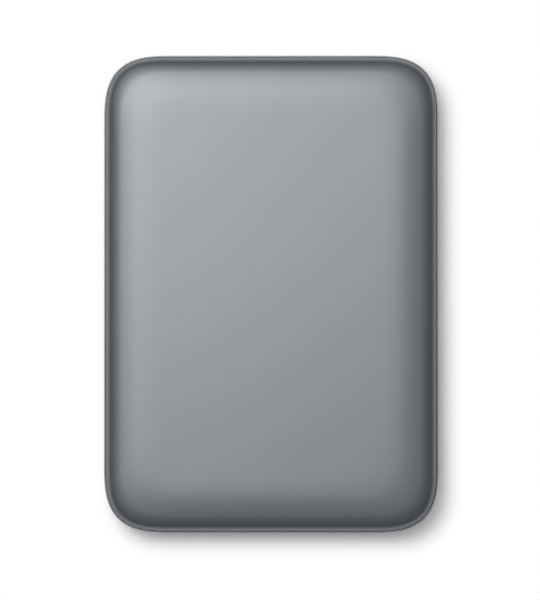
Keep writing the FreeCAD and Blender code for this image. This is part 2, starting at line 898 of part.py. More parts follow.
for span in (tongue_wide, tongue_narrow):
    for step in range(USB_CONTACTS):
        contact_x = (span[0] + span[1]) / 2 + (step - (USB_CONTACTS - 1) / 2) * usb_pitch
        usb_contacts.append(box(around(contact_x, s.usb_contact_width), contact_y, contact_z))
subpart(group(usb_contacts), "usb_contacts")

# Drive levels, measured up from the drive's underside
drive_board_low = drive_low + s.drive_board_sink
drive_board_high = drive_board_low + s.drive_board_thickness
well_floor = drive_low + s.well_floor
chamber_floor = drive_low + s.chamber_floor
drive_lid_low = drive_high - s.drive_lid_thickness
rim = drive_lid_low - s.gasket_thickness
platter_low = drive_low + s.platter_rise
platter_high = platter_low + s.platter_thickness
spindle_y = drive_far + spindle_setback
pivot_y = spindle_y + pivot_rise
head_reach = pivot_distance - s.head_short
parked_radius = s.platter_radius + s.park_room
reach_sum = pivot_distance * pivot_distance + head_reach * head_reach - parked_radius * parked_radius
park_angle = arccosine(reach_sum / (2 * pivot_distance * head_reach))
park_bearing = 180 + pivot_bearing - park_angle

# Connector pair: the drive's plug and the bridge board's receptacle
blade_low = drive_board_high + s.blade_rise - s.blade_thickness / 2
blade_high = blade_low + s.blade_thickness
blade_middle = (blade_low + blade_high) / 2
plug_end = drive_near - s.plug_setback
plug_start = plug_end - s.plug_depth
mouth_start = plug_start + s.plug_back
mouth_z = around(blade_middle, s.plug_mouth_height)
plug_width = s.plug_mouth_width + 2 * s.plug_wall
plug_middle = s.usb_along - s.usb_width / 2 - s.plug_socket_gap - plug_width / 2
plug_x = around(plug_middle, plug_width)
blade_x = around(plug_middle, s.plug_mouth_width - 2 * s.plug_mouth_room)
blade_ends = s.contact_width + 2 * s.blade_margin
pitch_count = SIGNAL_CONTACTS + POWER_CONTACTS - 2
contact_pitch = (blade_x[1] - blade_x[0] - s.blade_split - 2 * blade_ends) / pitch_count
signal_x = (blade_x[0], blade_x[0] + (SIGNAL_CONTACTS - 1) * contact_pitch + blade_ends)
power_x = (blade_x[1] - (POWER_CONTACTS - 1) * contact_pitch - blade_ends, blade_x[1])
blade_y = (mouth_start, plug_end - s.blade_setback)
blade_z = (blade_low, blade_high)
plug_body = box(plug_x, (plug_start, plug_end), (drive_board_high, drive_board_high + s.plug_height))
plug_mouth = box(around(plug_middle, s.plug_mouth_width), (mouth_start, plug_end), mouth_z)
subpart(fuse(cut(plug_body, plug_mouth), box(signal_x, blade_y, blade_z), box(power_x, blade_y, blade_z)),
        "sata_plug")

receptacle_end = board_front + s.receptacle_body
nose_start = drive_near - s.receptacle_nose
nose_x = around(plug_middle, s.plug_mouth_width - 2 * s.receptacle_clear)
nose_z = (mouth_z[0] + s.receptacle_clear, mouth_z[1] - s.receptacle_clear)
slot_y = (nose_start, plug_end + s.slot_clear)
slot_z = (blade_low - s.slot_clear, blade_high + 2 * s.contact_thickness)
receptacle = fuse(box(plug_x, (board_front, receptacle_end), (board_high, board_high + s.plug_height)),
                  box(nose_x, (nose_start, board_front), nose_z))
slots = [box((span[0] - s.slot_clear, span[1] + s.slot_clear), slot_y, slot_z)
         for span in (signal_x, power_x)]
subpart(cut(receptacle, *slots), "sata_receptacle")

plug_contacts = []
receptacle_contacts = []
plug_contact_z = (blade_high, blade_high + s.contact_thickness)
spring_z = (plug_contact_z[1], plug_contact_z[1] + s.contact_thickness)
tail_y = (receptacle_end, receptacle_end + s.tail_length)
tail_z = (board_high, board_high + s.contact_thickness)
for count, span in ((SIGNAL_CONTACTS, signal_x), (POWER_CONTACTS, power_x)):
    for step in range(count):
        contact_x = (span[0] + span[1]) / 2 + (step - (count - 1) / 2) * contact_pitch
        contact_x = around(contact_x, s.contact_width)
        plug_contacts.append(box(contact_x, (nose_start, blade_y[1]), plug_contact_z))
        receptacle_contacts.append(box(contact_x, (nose_start, slot_y[1]), spring_z))
        receptacle_contacts.append(box(contact_x, tail_y, tail_z))
subpart(group(plug_contacts), "sata_plug_contacts")
subpart(group(receptacle_contacts), "sata_receptacle_contacts")

# Drive base: cast tub with a platter well, an actuator chamber, a board recess and tapped bosses
drive_x = (-drive_side, drive_side)
drive_y = (drive_far, drive_near)
chamber_x = (s.chamber_wall - drive_side, drive_side - s.chamber_wall)
plug_pocket_y = plug_start - s.plug_room
chamber_end = plug_pocket_y - s.partition
board_recess_y = drive_near - s.drive_board_reach - s.drive_board_gap
recess_roof = drive_board_high + s.drive_board_room
lid_screw_x = drive_side - s.lid_screw_inset
lid_screw_y = (drive_far + s.lid_screw_inset, drive_near - s.lid_screw_inset)
drive_board_half = drive_side - s.drive_board_inset
board_screw_x = drive_board_half - s.board_screw_inset
board_screw_y = (drive_near - s.drive_board_reach + s.board_screw_edge, drive_near - s.board_screw_near)
board_screw_spots = [
    (-board_screw_x, board_screw_y[0]),
    (board_screw_x, board_screw_y[0]),
    (s.board_screw_along, board_screw_y[1]),
]
tub = new_body("tub")
pad(tub, rounded(level(tub, drive_low), drive_x, drive_y, s.drive_corner), rim - drive_low)
pocket_up(tub, circle(level(tub, well_floor), well_radius, 0, spindle_y), rim - well_floor)
pocket_up(tub, rounded(level(tub, chamber_floor), chamber_x, (spindle_y, chamber_end), s.chamber_corner),
          rim - chamber_floor)
bay_x = (pivot_x - s.motor_bay_reach, drive_side - s.motor_bay_wall)
bay_y = (chamber_end - s.motor_bay_far, drive_near - s.motor_bay_near)
pocket_up(tub, rounded(level(tub, chamber_floor), bay_x, bay_y, s.motor_bay_corner), rim - chamber_floor)
board_recess = box(around(0, 2 * (drive_board_half + s.drive_board_gap)),
                   (board_recess_y, drive_near + s.drive_board_gap), (drive_low, recess_roof))
bosses = [rod(s.board_boss_radius, drive_board_high, recess_roof, x, y) for x, y in board_screw_spots]
plug_pocket = box((plug_x[0] - s.plug_room, plug_x[1] + s.plug_room),
                  (plug_pocket_y, drive_near + s.plug_room), (drive_low, drive_low + s.plug_roof))
motor_seat = rod(s.sleeve_radius + s.stator_ring, well_floor, drive_low + s.stator_seat, 0, spindle_y)
motor_bore = rod(s.sleeve_radius + s.fit, drive_low, drive_low + s.stator_seat, 0, spindle_y)
tapped = [rod(s.screw_radius + s.fit, drive_board_high, drive_board_high + s.board_screw_depth, x, y)
          for x, y in board_screw_spots]
for side in (-1, 1):
    for y in lid_screw_y:
        tapped.append(rod(s.screw_radius + s.fit, rim - s.lid_screw_depth, rim, side * lid_screw_x, y))
    for reach in (s.mount_near, s.mount_far):
        tapped.append(rod(s.mount_radius, drive_low, drive_low + s.mount_depth,
                          side * (drive_side - s.mount_inset), drive_near - reach))
drive_base = cut(fuse(cut(tub, board_recess), *bosses, motor_seat), plug_pocket, motor_bore, *tapped)
subpart(drive_base, "drive_base")

# Gasket, lid and lid screws
lid_gasket = new_body("lid_gasket")
gasket_shape = level(lid_gasket, rim)
for inset in (s.lid_inset_gap, s.lid_inset_gap + s.gasket_width):
    rounded(gasket_shape, (inset - drive_side, drive_side - inset), (drive_far + inset, drive_near - inset),
            s.drive_corner - inset)
pad(lid_gasket, gasket_shape, s.gasket_thickness)
subpart(lid_gasket, "lid_gasket")

lid_blank = new_body("lid_blank")
lid_shape = level(lid_blank, drive_lid_low)
rounded(lid_shape, (s.lid_inset_gap - drive_side, drive_side - s.lid_inset_gap),
        (drive_far + s.lid_inset_gap, drive_near - s.lid_inset_gap), s.drive_corner - s.lid_inset_gap)
pad(lid_blank, lid_shape, s.drive_lid_thickness)
dish = level(lid_blank, drive_high - s.lid_dish_depth)
rounded(dish, (s.lid_dish_inset - drive_side, drive_side - s.lid_dish_inset),
        (drive_far + s.lid_dish_inset, drive_near - s.lid_dish_inset), s.lid_dish_corner)
pocket_up(lid_blank, dish, s.lid_dish_depth)
head_low = drive_high - s.screw_head_height
lid_screw_spots = [(side * lid_screw_x, y) for side in (-1, 1) for y in lid_screw_y]
lid_cuts = []
lid_screws = []
for x, y in lid_screw_spots + [(pivot_x, pivot_y)]:
    lid_cuts.append(rod(s.screw_radius + s.fit, drive_lid_low, drive_high, x, y))
    lid_cuts.append(rod(s.screw_head_radius + s.fit, head_low, drive_high, x, y))
    lid_screws.append(fuse(rod(s.screw_radius, rim + s.fit - s.lid_screw_depth, head_low, x, y),
                           rod(s.screw_head_radius, head_low, drive_high, x, y)))
subpart(cut(lid_blank, *lid_cuts), "drive_lid")
subpart(group(lid_screws), "lid_screws")

# Drive board under the actuator chamber, its chips and screws
drive_board_y = (drive_near - s.drive_board_reach, plug_end)
board_blank = box(around(0, 2 * drive_board_half), drive_board_y, (drive_board_low, drive_board_high))
screw_holes = [rod(s.screw_radius + s.fit, drive_board_low, drive_board_high, x, y)
               for x, y in board_screw_spots]
subpart(cut(board_blank, *screw_holes), "drive_board")
board_screws = []
board_screw_top = drive_board_high + s.board_screw_depth - s.fit
board_head_low = drive_board_low - s.screw_head_height
for x, y in board_screw_spots:
    board_screws.append(fuse(rod(s.screw_radius, drive_board_low, board_screw_top, x, y),
                             rod(s.screw_head_radius, board_head_low, drive_board_low, x, y)))
subpart(group(board_screws), "board_screws")
chip_z = (drive_board_high, drive_board_high + s.chip_height)
chip_y = drive_near - s.chip_setback
subpart(box(around(s.controller_along, s.controller_side), around(chip_y, s.controller_side), chip_z),
        "controller_chip")
subpart(box(around(s.driver_along, s.driver_side), around(chip_y, s.driver_side), chip_z),
        "motor_driver_chip")
subpart(box(around(s.memory_along, s.memory_length), around(chip_y, s.memory_width), chip_z), "memory_chip")

# Spindle motor: fixed sleeve, stator and windings
sleeve_low = drive_low + s.sleeve_low
sleeve_high = drive_low + s.sleeve_high
sleeve_bore = rod(s.shaft_radius + s.fit, sleeve_low + s.sleeve_cap, sleeve_high, 0, spindle_y)
subpart(cut(rod(s.sleeve_radius, sleeve_low, sleeve_high, 0, spindle_y), sleeve_bore), "motor_sleeve")
cup_radius = s.platter_bore - s.fit
rotor_outer = cup_radius - s.cup_thickness
rotor_inner = rotor_outer - s.rotor_thickness
stator_outer = rotor_inner - s.stator_air
stator_z = (drive_low + s.stator_seat, drive_low + s.stator_seat + s.stator_thickness)
stator_inner = s.sleeve_radius + s.fit
winding_z = around((stator_z[0] + stator_z[1]) / 2, s.winding_height)
shoe_x = (stator_outer - s.shoe_setback - s.shoe_thickness, stator_outer - s.shoe_setback)
stator_pieces = [ring(stator_inner, stator_inner + s.stator_ring, *stator_z)]
windings = []
for step in range(9):
    tooth = box((stator_inner + s.stator_ring / 2, shoe_x[0] + s.shoe_thickness / 2),
                around(0, s.tooth_width), stator_z)
    shoe = box(shoe_x, around(0, s.shoe_width), stator_z)
    stator_pieces.append(place(fuse(tooth, shoe), angle=step * s.stator_teeth_angle))
    winding_x = (s.winding_start, s.winding_start + s.winding_length)
    winding = cut(box(winding_x, around(0, s.winding_width), winding_z),
                  box(winding_x, around(0, s.tooth_width), stator_z))
    windings.append(place(winding, angle=step * s.stator_teeth_angle))
subpart(place(fuse(*stator_pieces), 0, spindle_y), "stator_core")
subpart(place(group(windings), 0, spindle_y), "stator_coils")

# Spindle: hub on its shaft, rotor magnet, platter, clamp and clamp screw
hub_roof = drive_low + s.cup_roof
hub_high = drive_low + s.cup_high
flange_low = platter_low - s.flange_thickness
screw_bottom = hub_high - s.clamp_screw_depth
hub = turned("spindle_hub", [
    (0, drive_low + s.shaft_low),
    (s.shaft_radius, drive_low + s.shaft_low),
    (s.shaft_radius, hub_roof),
    (rotor_outer, hub_roof),
    (rotor_outer, drive_low + s.cup_low),
    (cup_radius, drive_low + s.cup_low),
    (cup_radius, flange_low),
    (s.flange_radius, flange_low),
    (s.flange_radius, platter_low),
    (cup_radius, platter_low),
    (cup_radius, hub_high),
    (s.clamp_screw_radius, hub_high),
    (s.clamp_screw_radius, screw_bottom),
    (0, screw_bottom),
])
subpart(place(hub, 0, spindle_y), "spindle_hub")
subpart(ring(rotor_inner, rotor_outer, drive_low + s.cup_low, drive_low + s.rotor_high, 0, spindle_y),
        "rotor_magnet")
platter = turned("platter", [
    (s.platter_bore, platter_low),
    (s.platter_radius - s.platter_bevel, platter_low),
    (s.platter_radius, platter_low + s.platter_bevel),
    (s.platter_radius, platter_high - s.platter_bevel),
    (s.platter_radius - s.platter_bevel, platter_high),
    (s.platter_bore, platter_high),
])
subpart(place(platter, 0, spindle_y), "platter")
clamp_dip = platter_high + s.clamp_edge
clamp_top = platter_high + s.clamp_crown
clamp = turned("platter_clamp", [
    (s.clamp_screw_radius + s.fit, platter_high),
    (s.clamp_radius, platter_high),
    (s.clamp_radius, clamp_dip),
    (cup_radius - s.cup_thickness, clamp_top),
    (s.clamp_dish, clamp_top),
    (s.clamp_dish - s.clamp_crown, clamp_dip),
    (s.clamp_screw_radius + s.fit, clamp_dip),
])
subpart(place(clamp, 0, spindle_y), "platter_clamp")
clamp_key = bind(doc.addObject("Part::Prism", "key"), Circumradius=s.drive_key, Height=s.drive_key_depth)
clamp_key.Polygon = 6
place(clamp_key, 0, spindle_y, clamp_dip + s.clamp_head_height - s.drive_key_depth)
clamp_screw = fuse(rod(s.clamp_screw_radius, screw_bottom + s.fit, clamp_dip, 0, spindle_y),
                   rod(s.clamp_head_radius, clamp_dip, clamp_dip + s.clamp_head_height, 0, spindle_y))
subpart(cut(clamp_screw, clamp_key), "clamp_screw")


# Actuator, drawn about its pivot with the arms along x and then swung to the parked place
def parked(made, label):
    return subpart(place(made, pivot_x, pivot_y, 0, park_bearing), label)


low_arm_high = platter_low - s.fly_height - s.slider_height - s.suspension_thickness
low_arm_low = low_arm_high - s.arm_thickness
high_arm_low = platter_high + s.fly_height + s.slider_height + s.suspension_thickness
high_arm_high = high_arm_low + s.arm_thickness
coil_middle = (platter_low + platter_high) / 2
coil_z = around(coil_middle, s.coil_thickness)
coil_start = 360 + s.coil_bearing - park_bearing - s.coil_sweep / 2
arm_reach = head_reach - s.arm_tip_gap
arm_corners = [
    (0, -s.arm_root_half),
    (arm_reach, -s.arm_tip_half),
    (arm_reach, s.arm_tip_half),
    (0, s.arm_root_half),
]
arm_pieces = [rod(s.arm_hub_radius, low_arm_low, high_arm_high)]
for low in (low_arm_low, high_arm_low):
    blade = plate("arm_blade", low, low + s.arm_thickness, arm_corners)
    arm_pieces.append(cut(blade, rod(s.arm_window, low, low + s.arm_thickness, s.arm_window_reach)))
fork_start = coil_start - s.fork_prong_angle
fork_sweep = s.coil_sweep + 2 * s.fork_prong_angle
coil_bed = sector(s.coil_inner - s.coil_fit, s.coil_outer, *coil_z, coil_start - s.coil_fit_angle,
                  s.coil_sweep + 2 * s.coil_fit_angle)
fork = cut(wedge(s.fork_reach, *coil_z, fork_start, fork_sweep), coil_bed)
arm_pieces.append(fork)
arm_bore = rod(s.pivot_sleeve_radius, low_arm_low, high_arm_high)
parked(cut(fuse(*arm_pieces), arm_bore), "actuator_arm")
parked(ring(s.pivot_radius + s.fit, s.pivot_sleeve_radius, low_arm_low, high_arm_high), "pivot_sleeve")
coil_window = sector(s.coil_inner + s.coil_wire, s.coil_outer - s.coil_wire, *coil_z,
                     coil_start + s.coil_wire_angle, s.coil_sweep - 2 * s.coil_wire_angle)
parked(cut(sector(s.coil_inner, s.coil_outer, *coil_z, coil_start, s.coil_sweep), coil_window), "voice_coil")
slider_x = around(head_reach, s.slider_length)
slider_y = around(0, s.slider_width)
spring_start = head_reach - s.suspension_root
spring_neck = head_reach - s.suspension_neck
spring_corners = [
    (spring_start, -s.suspension_root_half),
    (spring_neck, -s.suspension_neck_half),
    (slider_x[1], -s.suspension_neck_half),
    (slider_x[1], -s.tab_half),
    (slider_x[1] + s.tab_length, -s.tab_half),
    (slider_x[1] + s.tab_length, s.tab_half),
    (slider_x[1], s.tab_half),
    (slider_x[1], s.suspension_neck_half),
    (spring_neck, s.suspension_neck_half),
    (spring_start, s.suspension_root_half),
]
lower_spring = (low_arm_high, low_arm_high + s.suspension_thickness)
upper_spring = (high_arm_low - s.suspension_thickness, high_arm_low)
parked(plate("suspension_lower", *lower_spring, spring_corners), "suspension_lower")
parked(plate("suspension_upper", *upper_spring, spring_corners), "suspension_upper")
lower_slider = box(slider_x, slider_y, (lower_spring[1], lower_spring[1] + s.slider_height))
upper_slider = box(slider_x, slider_y, (upper_spring[0] - s.slider_height, upper_spring[0]))
parked(group([lower_slider]), "slider_lower")
parked(group([upper_slider]), "slider_upper")

# Fixed pieces round the actuator: pivot, ramp, magnets in their yokes, stops, filter and ribbon
pivot_pin = rod(s.pivot_radius, chamber_floor, drive_lid_low, pivot_x, pivot_y)
pivot_tap = rod(s.screw_radius + s.fit, rim - s.lid_screw_depth, drive_lid_low, pivot_x, pivot_y)
subpart(cut(pivot_pin, pivot_tap), "pivot_shaft")
ramp_x = slider_x[1] + s.ramp_start - s.slider_length / 2
tab_end = slider_x[1] + s.tab_length
ramp_tongue = box((ramp_x, tab_end + s.ramp_gap + s.ramp_post), (-s.ramp_before, s.ramp_after),
                  (lower_spring[1] + s.ramp_gap, upper_spring[0] - s.ramp_gap))
ramp_post = box((tab_end + s.ramp_gap, tab_end + s.ramp_gap + s.ramp_post), (-s.ramp_before, s.ramp_after),
                (chamber_floor, chamber_floor + s.ramp_post_rise))
parked(fuse(ramp_tongue, ramp_post), "load_ramp")

lower_magnet_high = coil_z[0] - s.magnet_gap
upper_magnet_low = coil_z[1] + s.magnet_gap
lower_magnet_low = lower_magnet_high - s.magnet_thickness
upper_magnet_high = upper_magnet_low + s.magnet_thickness
yoke_levels = {
    "lower_yoke": (chamber_floor, lower_magnet_low),
    "upper_yoke": (upper_magnet_high, upper_magnet_high + s.yoke_thickness),
}
magnet_levels = {
    "lower_magnet": (lower_magnet_low, lower_magnet_high),
    "upper_magnet": (upper_magnet_low, upper_magnet_high),
}
post_bearings = (s.yoke_bearing + s.yoke_post_angle, s.yoke_bearing + s.yoke_sweep - s.yoke_post_angle)
post_spots = [(s.yoke_post_distance * cosine(bearing), s.yoke_post_distance * sine(bearing))
              for bearing in post_bearings]
for label, (low, high) in yoke_levels.items():
    ears = [rod(s.yoke_ear_radius, low, high, x, y) for x, y in post_spots]
    leaf = sector(s.yoke_inner, s.yoke_outer, low, high, s.yoke_bearing, s.yoke_sweep)
    subpart(place(fuse(leaf, *ears), pivot_x, pivot_y), label)
for label, (low, high) in magnet_levels.items():
    magnet = sector(s.yoke_inner + s.magnet_margin, s.yoke_outer - s.magnet_margin, low, high,
                    s.yoke_bearing + s.magnet_margin_angle, s.yoke_sweep - 2 * s.magnet_margin_angle)
    subpart(place(magnet, pivot_x, pivot_y), label)
posts = [rod(s.yoke_post_radius, lower_magnet_low, upper_magnet_high, x, y) for x, y in post_spots]
subpart(place(group(posts), pivot_x, pivot_y), "yoke_posts")
stops = [rod(s.stop_radius, chamber_floor, chamber_floor + s.stop_rise, s.stop_distance * cosine(bearing),
             s.stop_distance * sine(bearing)) for bearing in (s.park_stop_bearing, s.inner_stop_bearing)]
subpart(place(group(stops), pivot_x, pivot_y), "travel_stops")
filter_x = (chamber_x[0] + s.filter_gap, chamber_x[0] + s.filter_gap + s.filter_length)
subpart(box(filter_x, around(drive_near - s.filter_setback, s.filter_width),
            (chamber_floor, chamber_floor + s.filter_rise)), "air_filter")
bracket_y = (chamber_end - s.board_gap - s.bracket_width, chamber_end - s.board_gap)
bracket_x = (pivot_x - s.bracket_gap - s.bracket_length, pivot_x - s.bracket_gap)
bracket_z = (chamber_floor, chamber_floor + s.bracket_rise)
subpart(box(bracket_x, bracket_y, bracket_z), "flex_bracket")

# Ribbon: a thin strip standing on edge, bent from the bracket round to the arm's hub
ribbon_low = chamber_floor + s.ribbon_low
hub_touch = s.arm_hub_radius + s.ribbon_gap
ribbon_end = (pivot_x + hub_touch * cosine(s.ribbon_bearing), pivot_y + hub_touch * sine(s.ribbon_bearing))
ribbon_start = (bracket_x[1], bracket_y[0])
ribbon = new_body("flex_ribbon")
ribbon_shape = level(ribbon, ribbon_low)
polygon(ribbon_shape, [
    ribbon_start,
    (ribbon_end[0] - s.ribbon_height * 2, ribbon_start[1]),
    (ribbon_end[0], ribbon_start[1] - s.ribbon_height * 2),
    ribbon_end,
    (ribbon_end[0] - s.ribbon_thickness, ribbon_end[1]),
    (ribbon_end[0] - s.ribbon_thickness, ribbon_start[1] - s.ribbon_height * 2),
    (ribbon_end[0] - s.ribbon_height * 2, ribbon_start[1] - s.ribbon_thickness),
    (ribbon_start[0], ribbon_start[1] - s.ribbon_thickness),
])
pad(ribbon, ribbon_shape, s.ribbon_height)
subpart(ribbon, "flex_ribbon")

# Check every object, then write each sub-part
doc.recompute()
for made in doc.Objects:
    if "Invalid" in made.State or "Error" in made.State:
        raise RuntimeError(f"{made.Label} did not build: {made.State}")
for made in subparts:
    if made.Shape.isNull() or not made.Shape.isValid():
        raise RuntimeError(f"{made.Label} has no valid shape")
os.makedirs("parts", exist_ok=True)
for made in subparts:
    made.Shape.exportStep(f"parts/{made.Label}.step")
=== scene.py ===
import json
import math

import bmesh
import bpy
from bpy.props import FloatProperty, FloatVectorProperty, IntProperty, PointerProperty
from bpy.types import Operator, Panel, PropertyGroup
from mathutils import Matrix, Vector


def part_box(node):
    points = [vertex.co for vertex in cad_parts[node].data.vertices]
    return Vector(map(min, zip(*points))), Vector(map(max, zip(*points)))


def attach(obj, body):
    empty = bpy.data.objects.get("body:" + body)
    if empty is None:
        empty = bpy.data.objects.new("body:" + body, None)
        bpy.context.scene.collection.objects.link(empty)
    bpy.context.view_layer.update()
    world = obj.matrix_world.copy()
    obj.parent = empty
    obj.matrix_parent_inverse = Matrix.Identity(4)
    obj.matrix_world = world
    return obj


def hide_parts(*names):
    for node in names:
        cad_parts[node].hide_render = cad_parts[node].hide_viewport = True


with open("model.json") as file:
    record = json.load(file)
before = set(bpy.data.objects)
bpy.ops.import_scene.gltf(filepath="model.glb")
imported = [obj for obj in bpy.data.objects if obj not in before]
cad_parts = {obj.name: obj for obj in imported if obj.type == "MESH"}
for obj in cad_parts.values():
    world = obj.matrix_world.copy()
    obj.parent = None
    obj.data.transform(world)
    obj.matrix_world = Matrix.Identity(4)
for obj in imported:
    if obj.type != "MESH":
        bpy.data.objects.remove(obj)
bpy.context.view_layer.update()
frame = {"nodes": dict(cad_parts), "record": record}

bl_info = {
    "name": "Portable drive",
    "version": (1, 0, 0),
    "blender": (4, 5, 0),
    "location": "View3D > Sidebar > Drive",
    "description": "Moulds the case of a portable hard drive round its packed frame and finishes every part",
    "category": "Object",
}

MM = 0.001
# Levels closer than this count as one
TINY = 0.01 * MM
# Tells a foot's flat face from the last step of its round rim
STRICT = TINY / 10

TOP_LOW, TOP_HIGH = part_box("top_cover")
BASE_LOW, BASE_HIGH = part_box("bottom_cover")
SOCKET_LOW, SOCKET_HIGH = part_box("usb_shell")
LIGHT_LOW, LIGHT_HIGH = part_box("light_pipe")
PLATTER_LOW, PLATTER_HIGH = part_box("platter")
FEET = (1, 2, 3, 4)

# How much faster than its plan a corner's reach shrinks when the plan is inset
CORNER_SHRINK = 1.3
# Border that keeps the shading of a flat face apart from the curve round it
FLAT_BORDER = 0.05 * MM
# Edges that turn by less than this are shaded smooth
SMOOTH_ANGLE = math.radians(32)
# Faces round the light hole, round a foot and over a small rounding
LIGHT_STEPS, FOOT_STEPS, RIM_STEPS = 48, 64, 8
# How far the port's cutter reaches into the case and out of it
PORT_IN, PORT_OUT = 8 * MM, 4 * MM
# Length of the light hole's cutter, half of it inside the case
LIGHT_CUT = 12 * MM
# How far the lip's cutter stands over the seam
LIP_CLEAR = 1 * MM

# Stage, in metres: the camera stands where the photo's outline and place in the picture put it
FLOOR_SIZE = 8
SILK_SIZE, SILK_HEIGHT = 2.6, 0.5
CAMERA_PLACE = (-0.288 * MM, -1.38 * MM, 1.006)
CAMERA_LENS, CAMERA_SENSOR, CAMERA_NEAR = 249.94, 36, 0.01
# Two pools of lamp light on the silk: middle, reach at full strength, whole reach and strength
POOLS = (
    ((-0.122, 0.16, SILK_HEIGHT), 0.008, 0.363, 3.17),
    ((-0.151, 0.226, SILK_HEIGHT), 0, 0.9, 1.35),
)
# Cool light from all over the silk, and from the room round the stage
FILL_STRENGTH, ROOM_STRENGTH = 0.1642, 0.06
# Painted edge of the shadow on the paper: corner radius of the outline where a painted white begins to cover
# it, and how far that outline is moved, the way the light casts the shadow
PAINTED_SHADOW_CORNER = 10.5 * MM
PAINTED_SHADOW_SHIFT = (2.5 * MM, -2.5 * MM, 0)
# Where the painted white begins and ends to cover the paper: from that outline, which cuts the shadow off,
# and from the middle in a reflection
PAINTED_SHADOW_START, PAINTED_SHADOW_END = -1.6 * MM, 4.6 * MM
MIRROR_START, MIRROR_END = 85 * MM, 170 * MM


def linear(code):
    """Turn a six-digit sRGB colour into linear red, green and blue."""
    channels = [int(code[index:index + 2], 16) / 255 for index in (1, 3, 5)]
    return [value / 12.92 if value <= 0.04045 else ((value + 0.055) / 1.055) ** 2.4 for value in channels]


# Settings a user would change
def length(label, note, default):
    return FloatProperty(name=label, description=note, default=default, unit="LENGTH", precision=5)


def angle(label, note, degrees):
    return FloatProperty(name=label, description=note, default=math.radians(degrees), subtype="ANGLE")


def swell(label, note, default):
    return FloatProperty(name=label, description=note, default=default, min=0.4, max=0.8, subtype="FACTOR")


def colour(label, note, code):
    return FloatVectorProperty(name=label, description=note, default=linear(code), subtype="COLOR", size=3)


class DriveSizes(PropertyGroup):
    """Sizes of the moulded case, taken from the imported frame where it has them."""

    half_width: length("Half width", "From the middle to the side of the lower cover", BASE_HIGH[0])
    half_length: length("Half length", "From the middle to the end of the lower cover", BASE_HIGH[1])
    base: length("Base level", "Underside of the lower cover", BASE_LOW[2])
    seam: length("Seam level", "Top of the lip round the lower cover", BASE_HIGH[2])
    top: length("Top level", "Flat top of the upper cover", TOP_HIGH[2])
    wall: length("Wall", "Thickness of both covers", 1.5 * MM)
    lip: length("Lip", "Thickness of the lip at the seam", 0.3 * MM)
    lip_height: length("Lip height", "Depth of the lip over the ledge", 0.8 * MM)
    gap: length("Seam gap", "Open line between the covers", 0.21 * MM)
    groove: length("Seam groove", "Depth of the narrowing groove under the seam", 0.6 * MM)
    corner: length("Corner reach", "How far a corner's curve runs along each side", 16.3 * MM)
    corner_swell: swell("Corner fullness", "Bevel profile of the corners in plan", 0.63)
    nose: length("Nose", "Radius of the tight curve that meets the side", 3 * MM)
    shoulder: length("Shoulder", "Radius of the curve between nose and crown", 8 * MM)
    crown: length("Crown", "Radius of the wide curve over the edge", 28 * MM)
    ease: length("Ease", "Radius of the faint curve that meets the flat top", 90 * MM)
    shoulder_tilt: angle("Shoulder tilt", "Slope where the nose meets the shoulder", 33)
    crown_tilt: angle("Crown tilt", "Slope where the shoulder meets the crown", 14)
    ease_tilt: angle("Ease tilt", "Slope where the crown meets the faint curve", 2.2)
    base_edge: length("Base edge width", "Plan width of the lower soft edge", 5.0 * MM)
    base_edge_height: length("Base edge height", "Height of the lower soft edge", 4.2 * MM)
    base_edge_swell: swell("Base edge fullness", "Bevel profile of the lower soft edge", 0.52)
    corner_steps: IntProperty(name="Corner steps", description="Faces round each corner", default=32, min=8)
    edge_steps: IntProperty(name="Edge steps", description="Faces over each curve of a soft edge", default=12,
                            min=6)
    tongue: length("Tongue", "Thickness of the locating tongue inside the seam", 0.9 * MM)
    tongue_rise: length("Tongue rise", "Height of the locating tongue", 1.8 * MM)
    tongue_gap: length("Tongue gap", "Room between the tongue and the wall of the lower cover", 0.1 * MM)
    port_gap: length("Port gap", "Room round the socket shell in its opening", 0.4 * MM)
    port_corner: length("Port corner", "Corner radius of the port opening", 0.8 * MM)
    light_gap: length("Light gap", "Room round the light guide in its hole", 0.05 * MM)
    foot_gap: length("Foot gap", "Room round a foot in its recess", 0.1 * MM)
    foot_rim: length("Foot rim", "Rounding of a foot's lower rim", 0.4 * MM)
    foot_land: length("Foot land", "Width of the flat ring that a foot stands on", 0.8 * MM)
    foot_slope: length("Foot slope", "Width of the slope from that ring into the dish", 0.3 * MM)
    foot_dish: length("Foot dish", "Depth of the dish under a foot", 0.1 * MM)


class DriveColours(PropertyGroup):
    """Colours that a user would change."""

    case: colour("Case", "Satin metal-flake plastic of both covers", "#717376")
    rubber: colour("Feet", "Rubber of the four feet", "#26282B")
    steel: colour("Socket", "Stainless steel of the socket shell", "#C9C7C1")
    floor: colour("Floor", "Paper under the drive", "#F2F2F2")
    lift: colour("Floor lift", "What the camera adds to the paper", "#867E73")
    fill: colour("Fill light", "Cool light from the silk and the room", "#DBE9FF")


# Modelling helpers
def near(level, slack=TINY):
    """A test for points at a level."""
    return lambda point: abs(point.z - level) < slack


def choose(piece, kind, test):
    """Select the vertices, edges or faces whose corner points all pass a test."""
    bpy.ops.mesh.select_mode(type=kind)
    bpy.ops.mesh.select_all(action="DESELECT")
    work = bmesh.from_edit_mesh(piece.data)
    parts = {"VERT": work.verts, "EDGE": work.edges, "FACE": work.faces}[kind]
    for part in parts:
        points = [part.co] if kind == "VERT" else [corner.co for corner in part.verts]
        if all(test(point) for point in points):
            part.select_set(True)
    work.select_flush_mode()
    bmesh.update_edit_mesh(piece.data)


def pick(piece, *others):
    """Select a piece, with others where they are given, and make it the active one."""
    bpy.ops.object.select_all(action="DESELECT")
    for each in (piece, *others):
        each.select_set(True)
    bpy.context.view_layer.objects.active = piece


def middle_of(low, high):
    """The point halfway between two corners."""
    return [(a + b) / 2 for a, b in zip(low, high)]


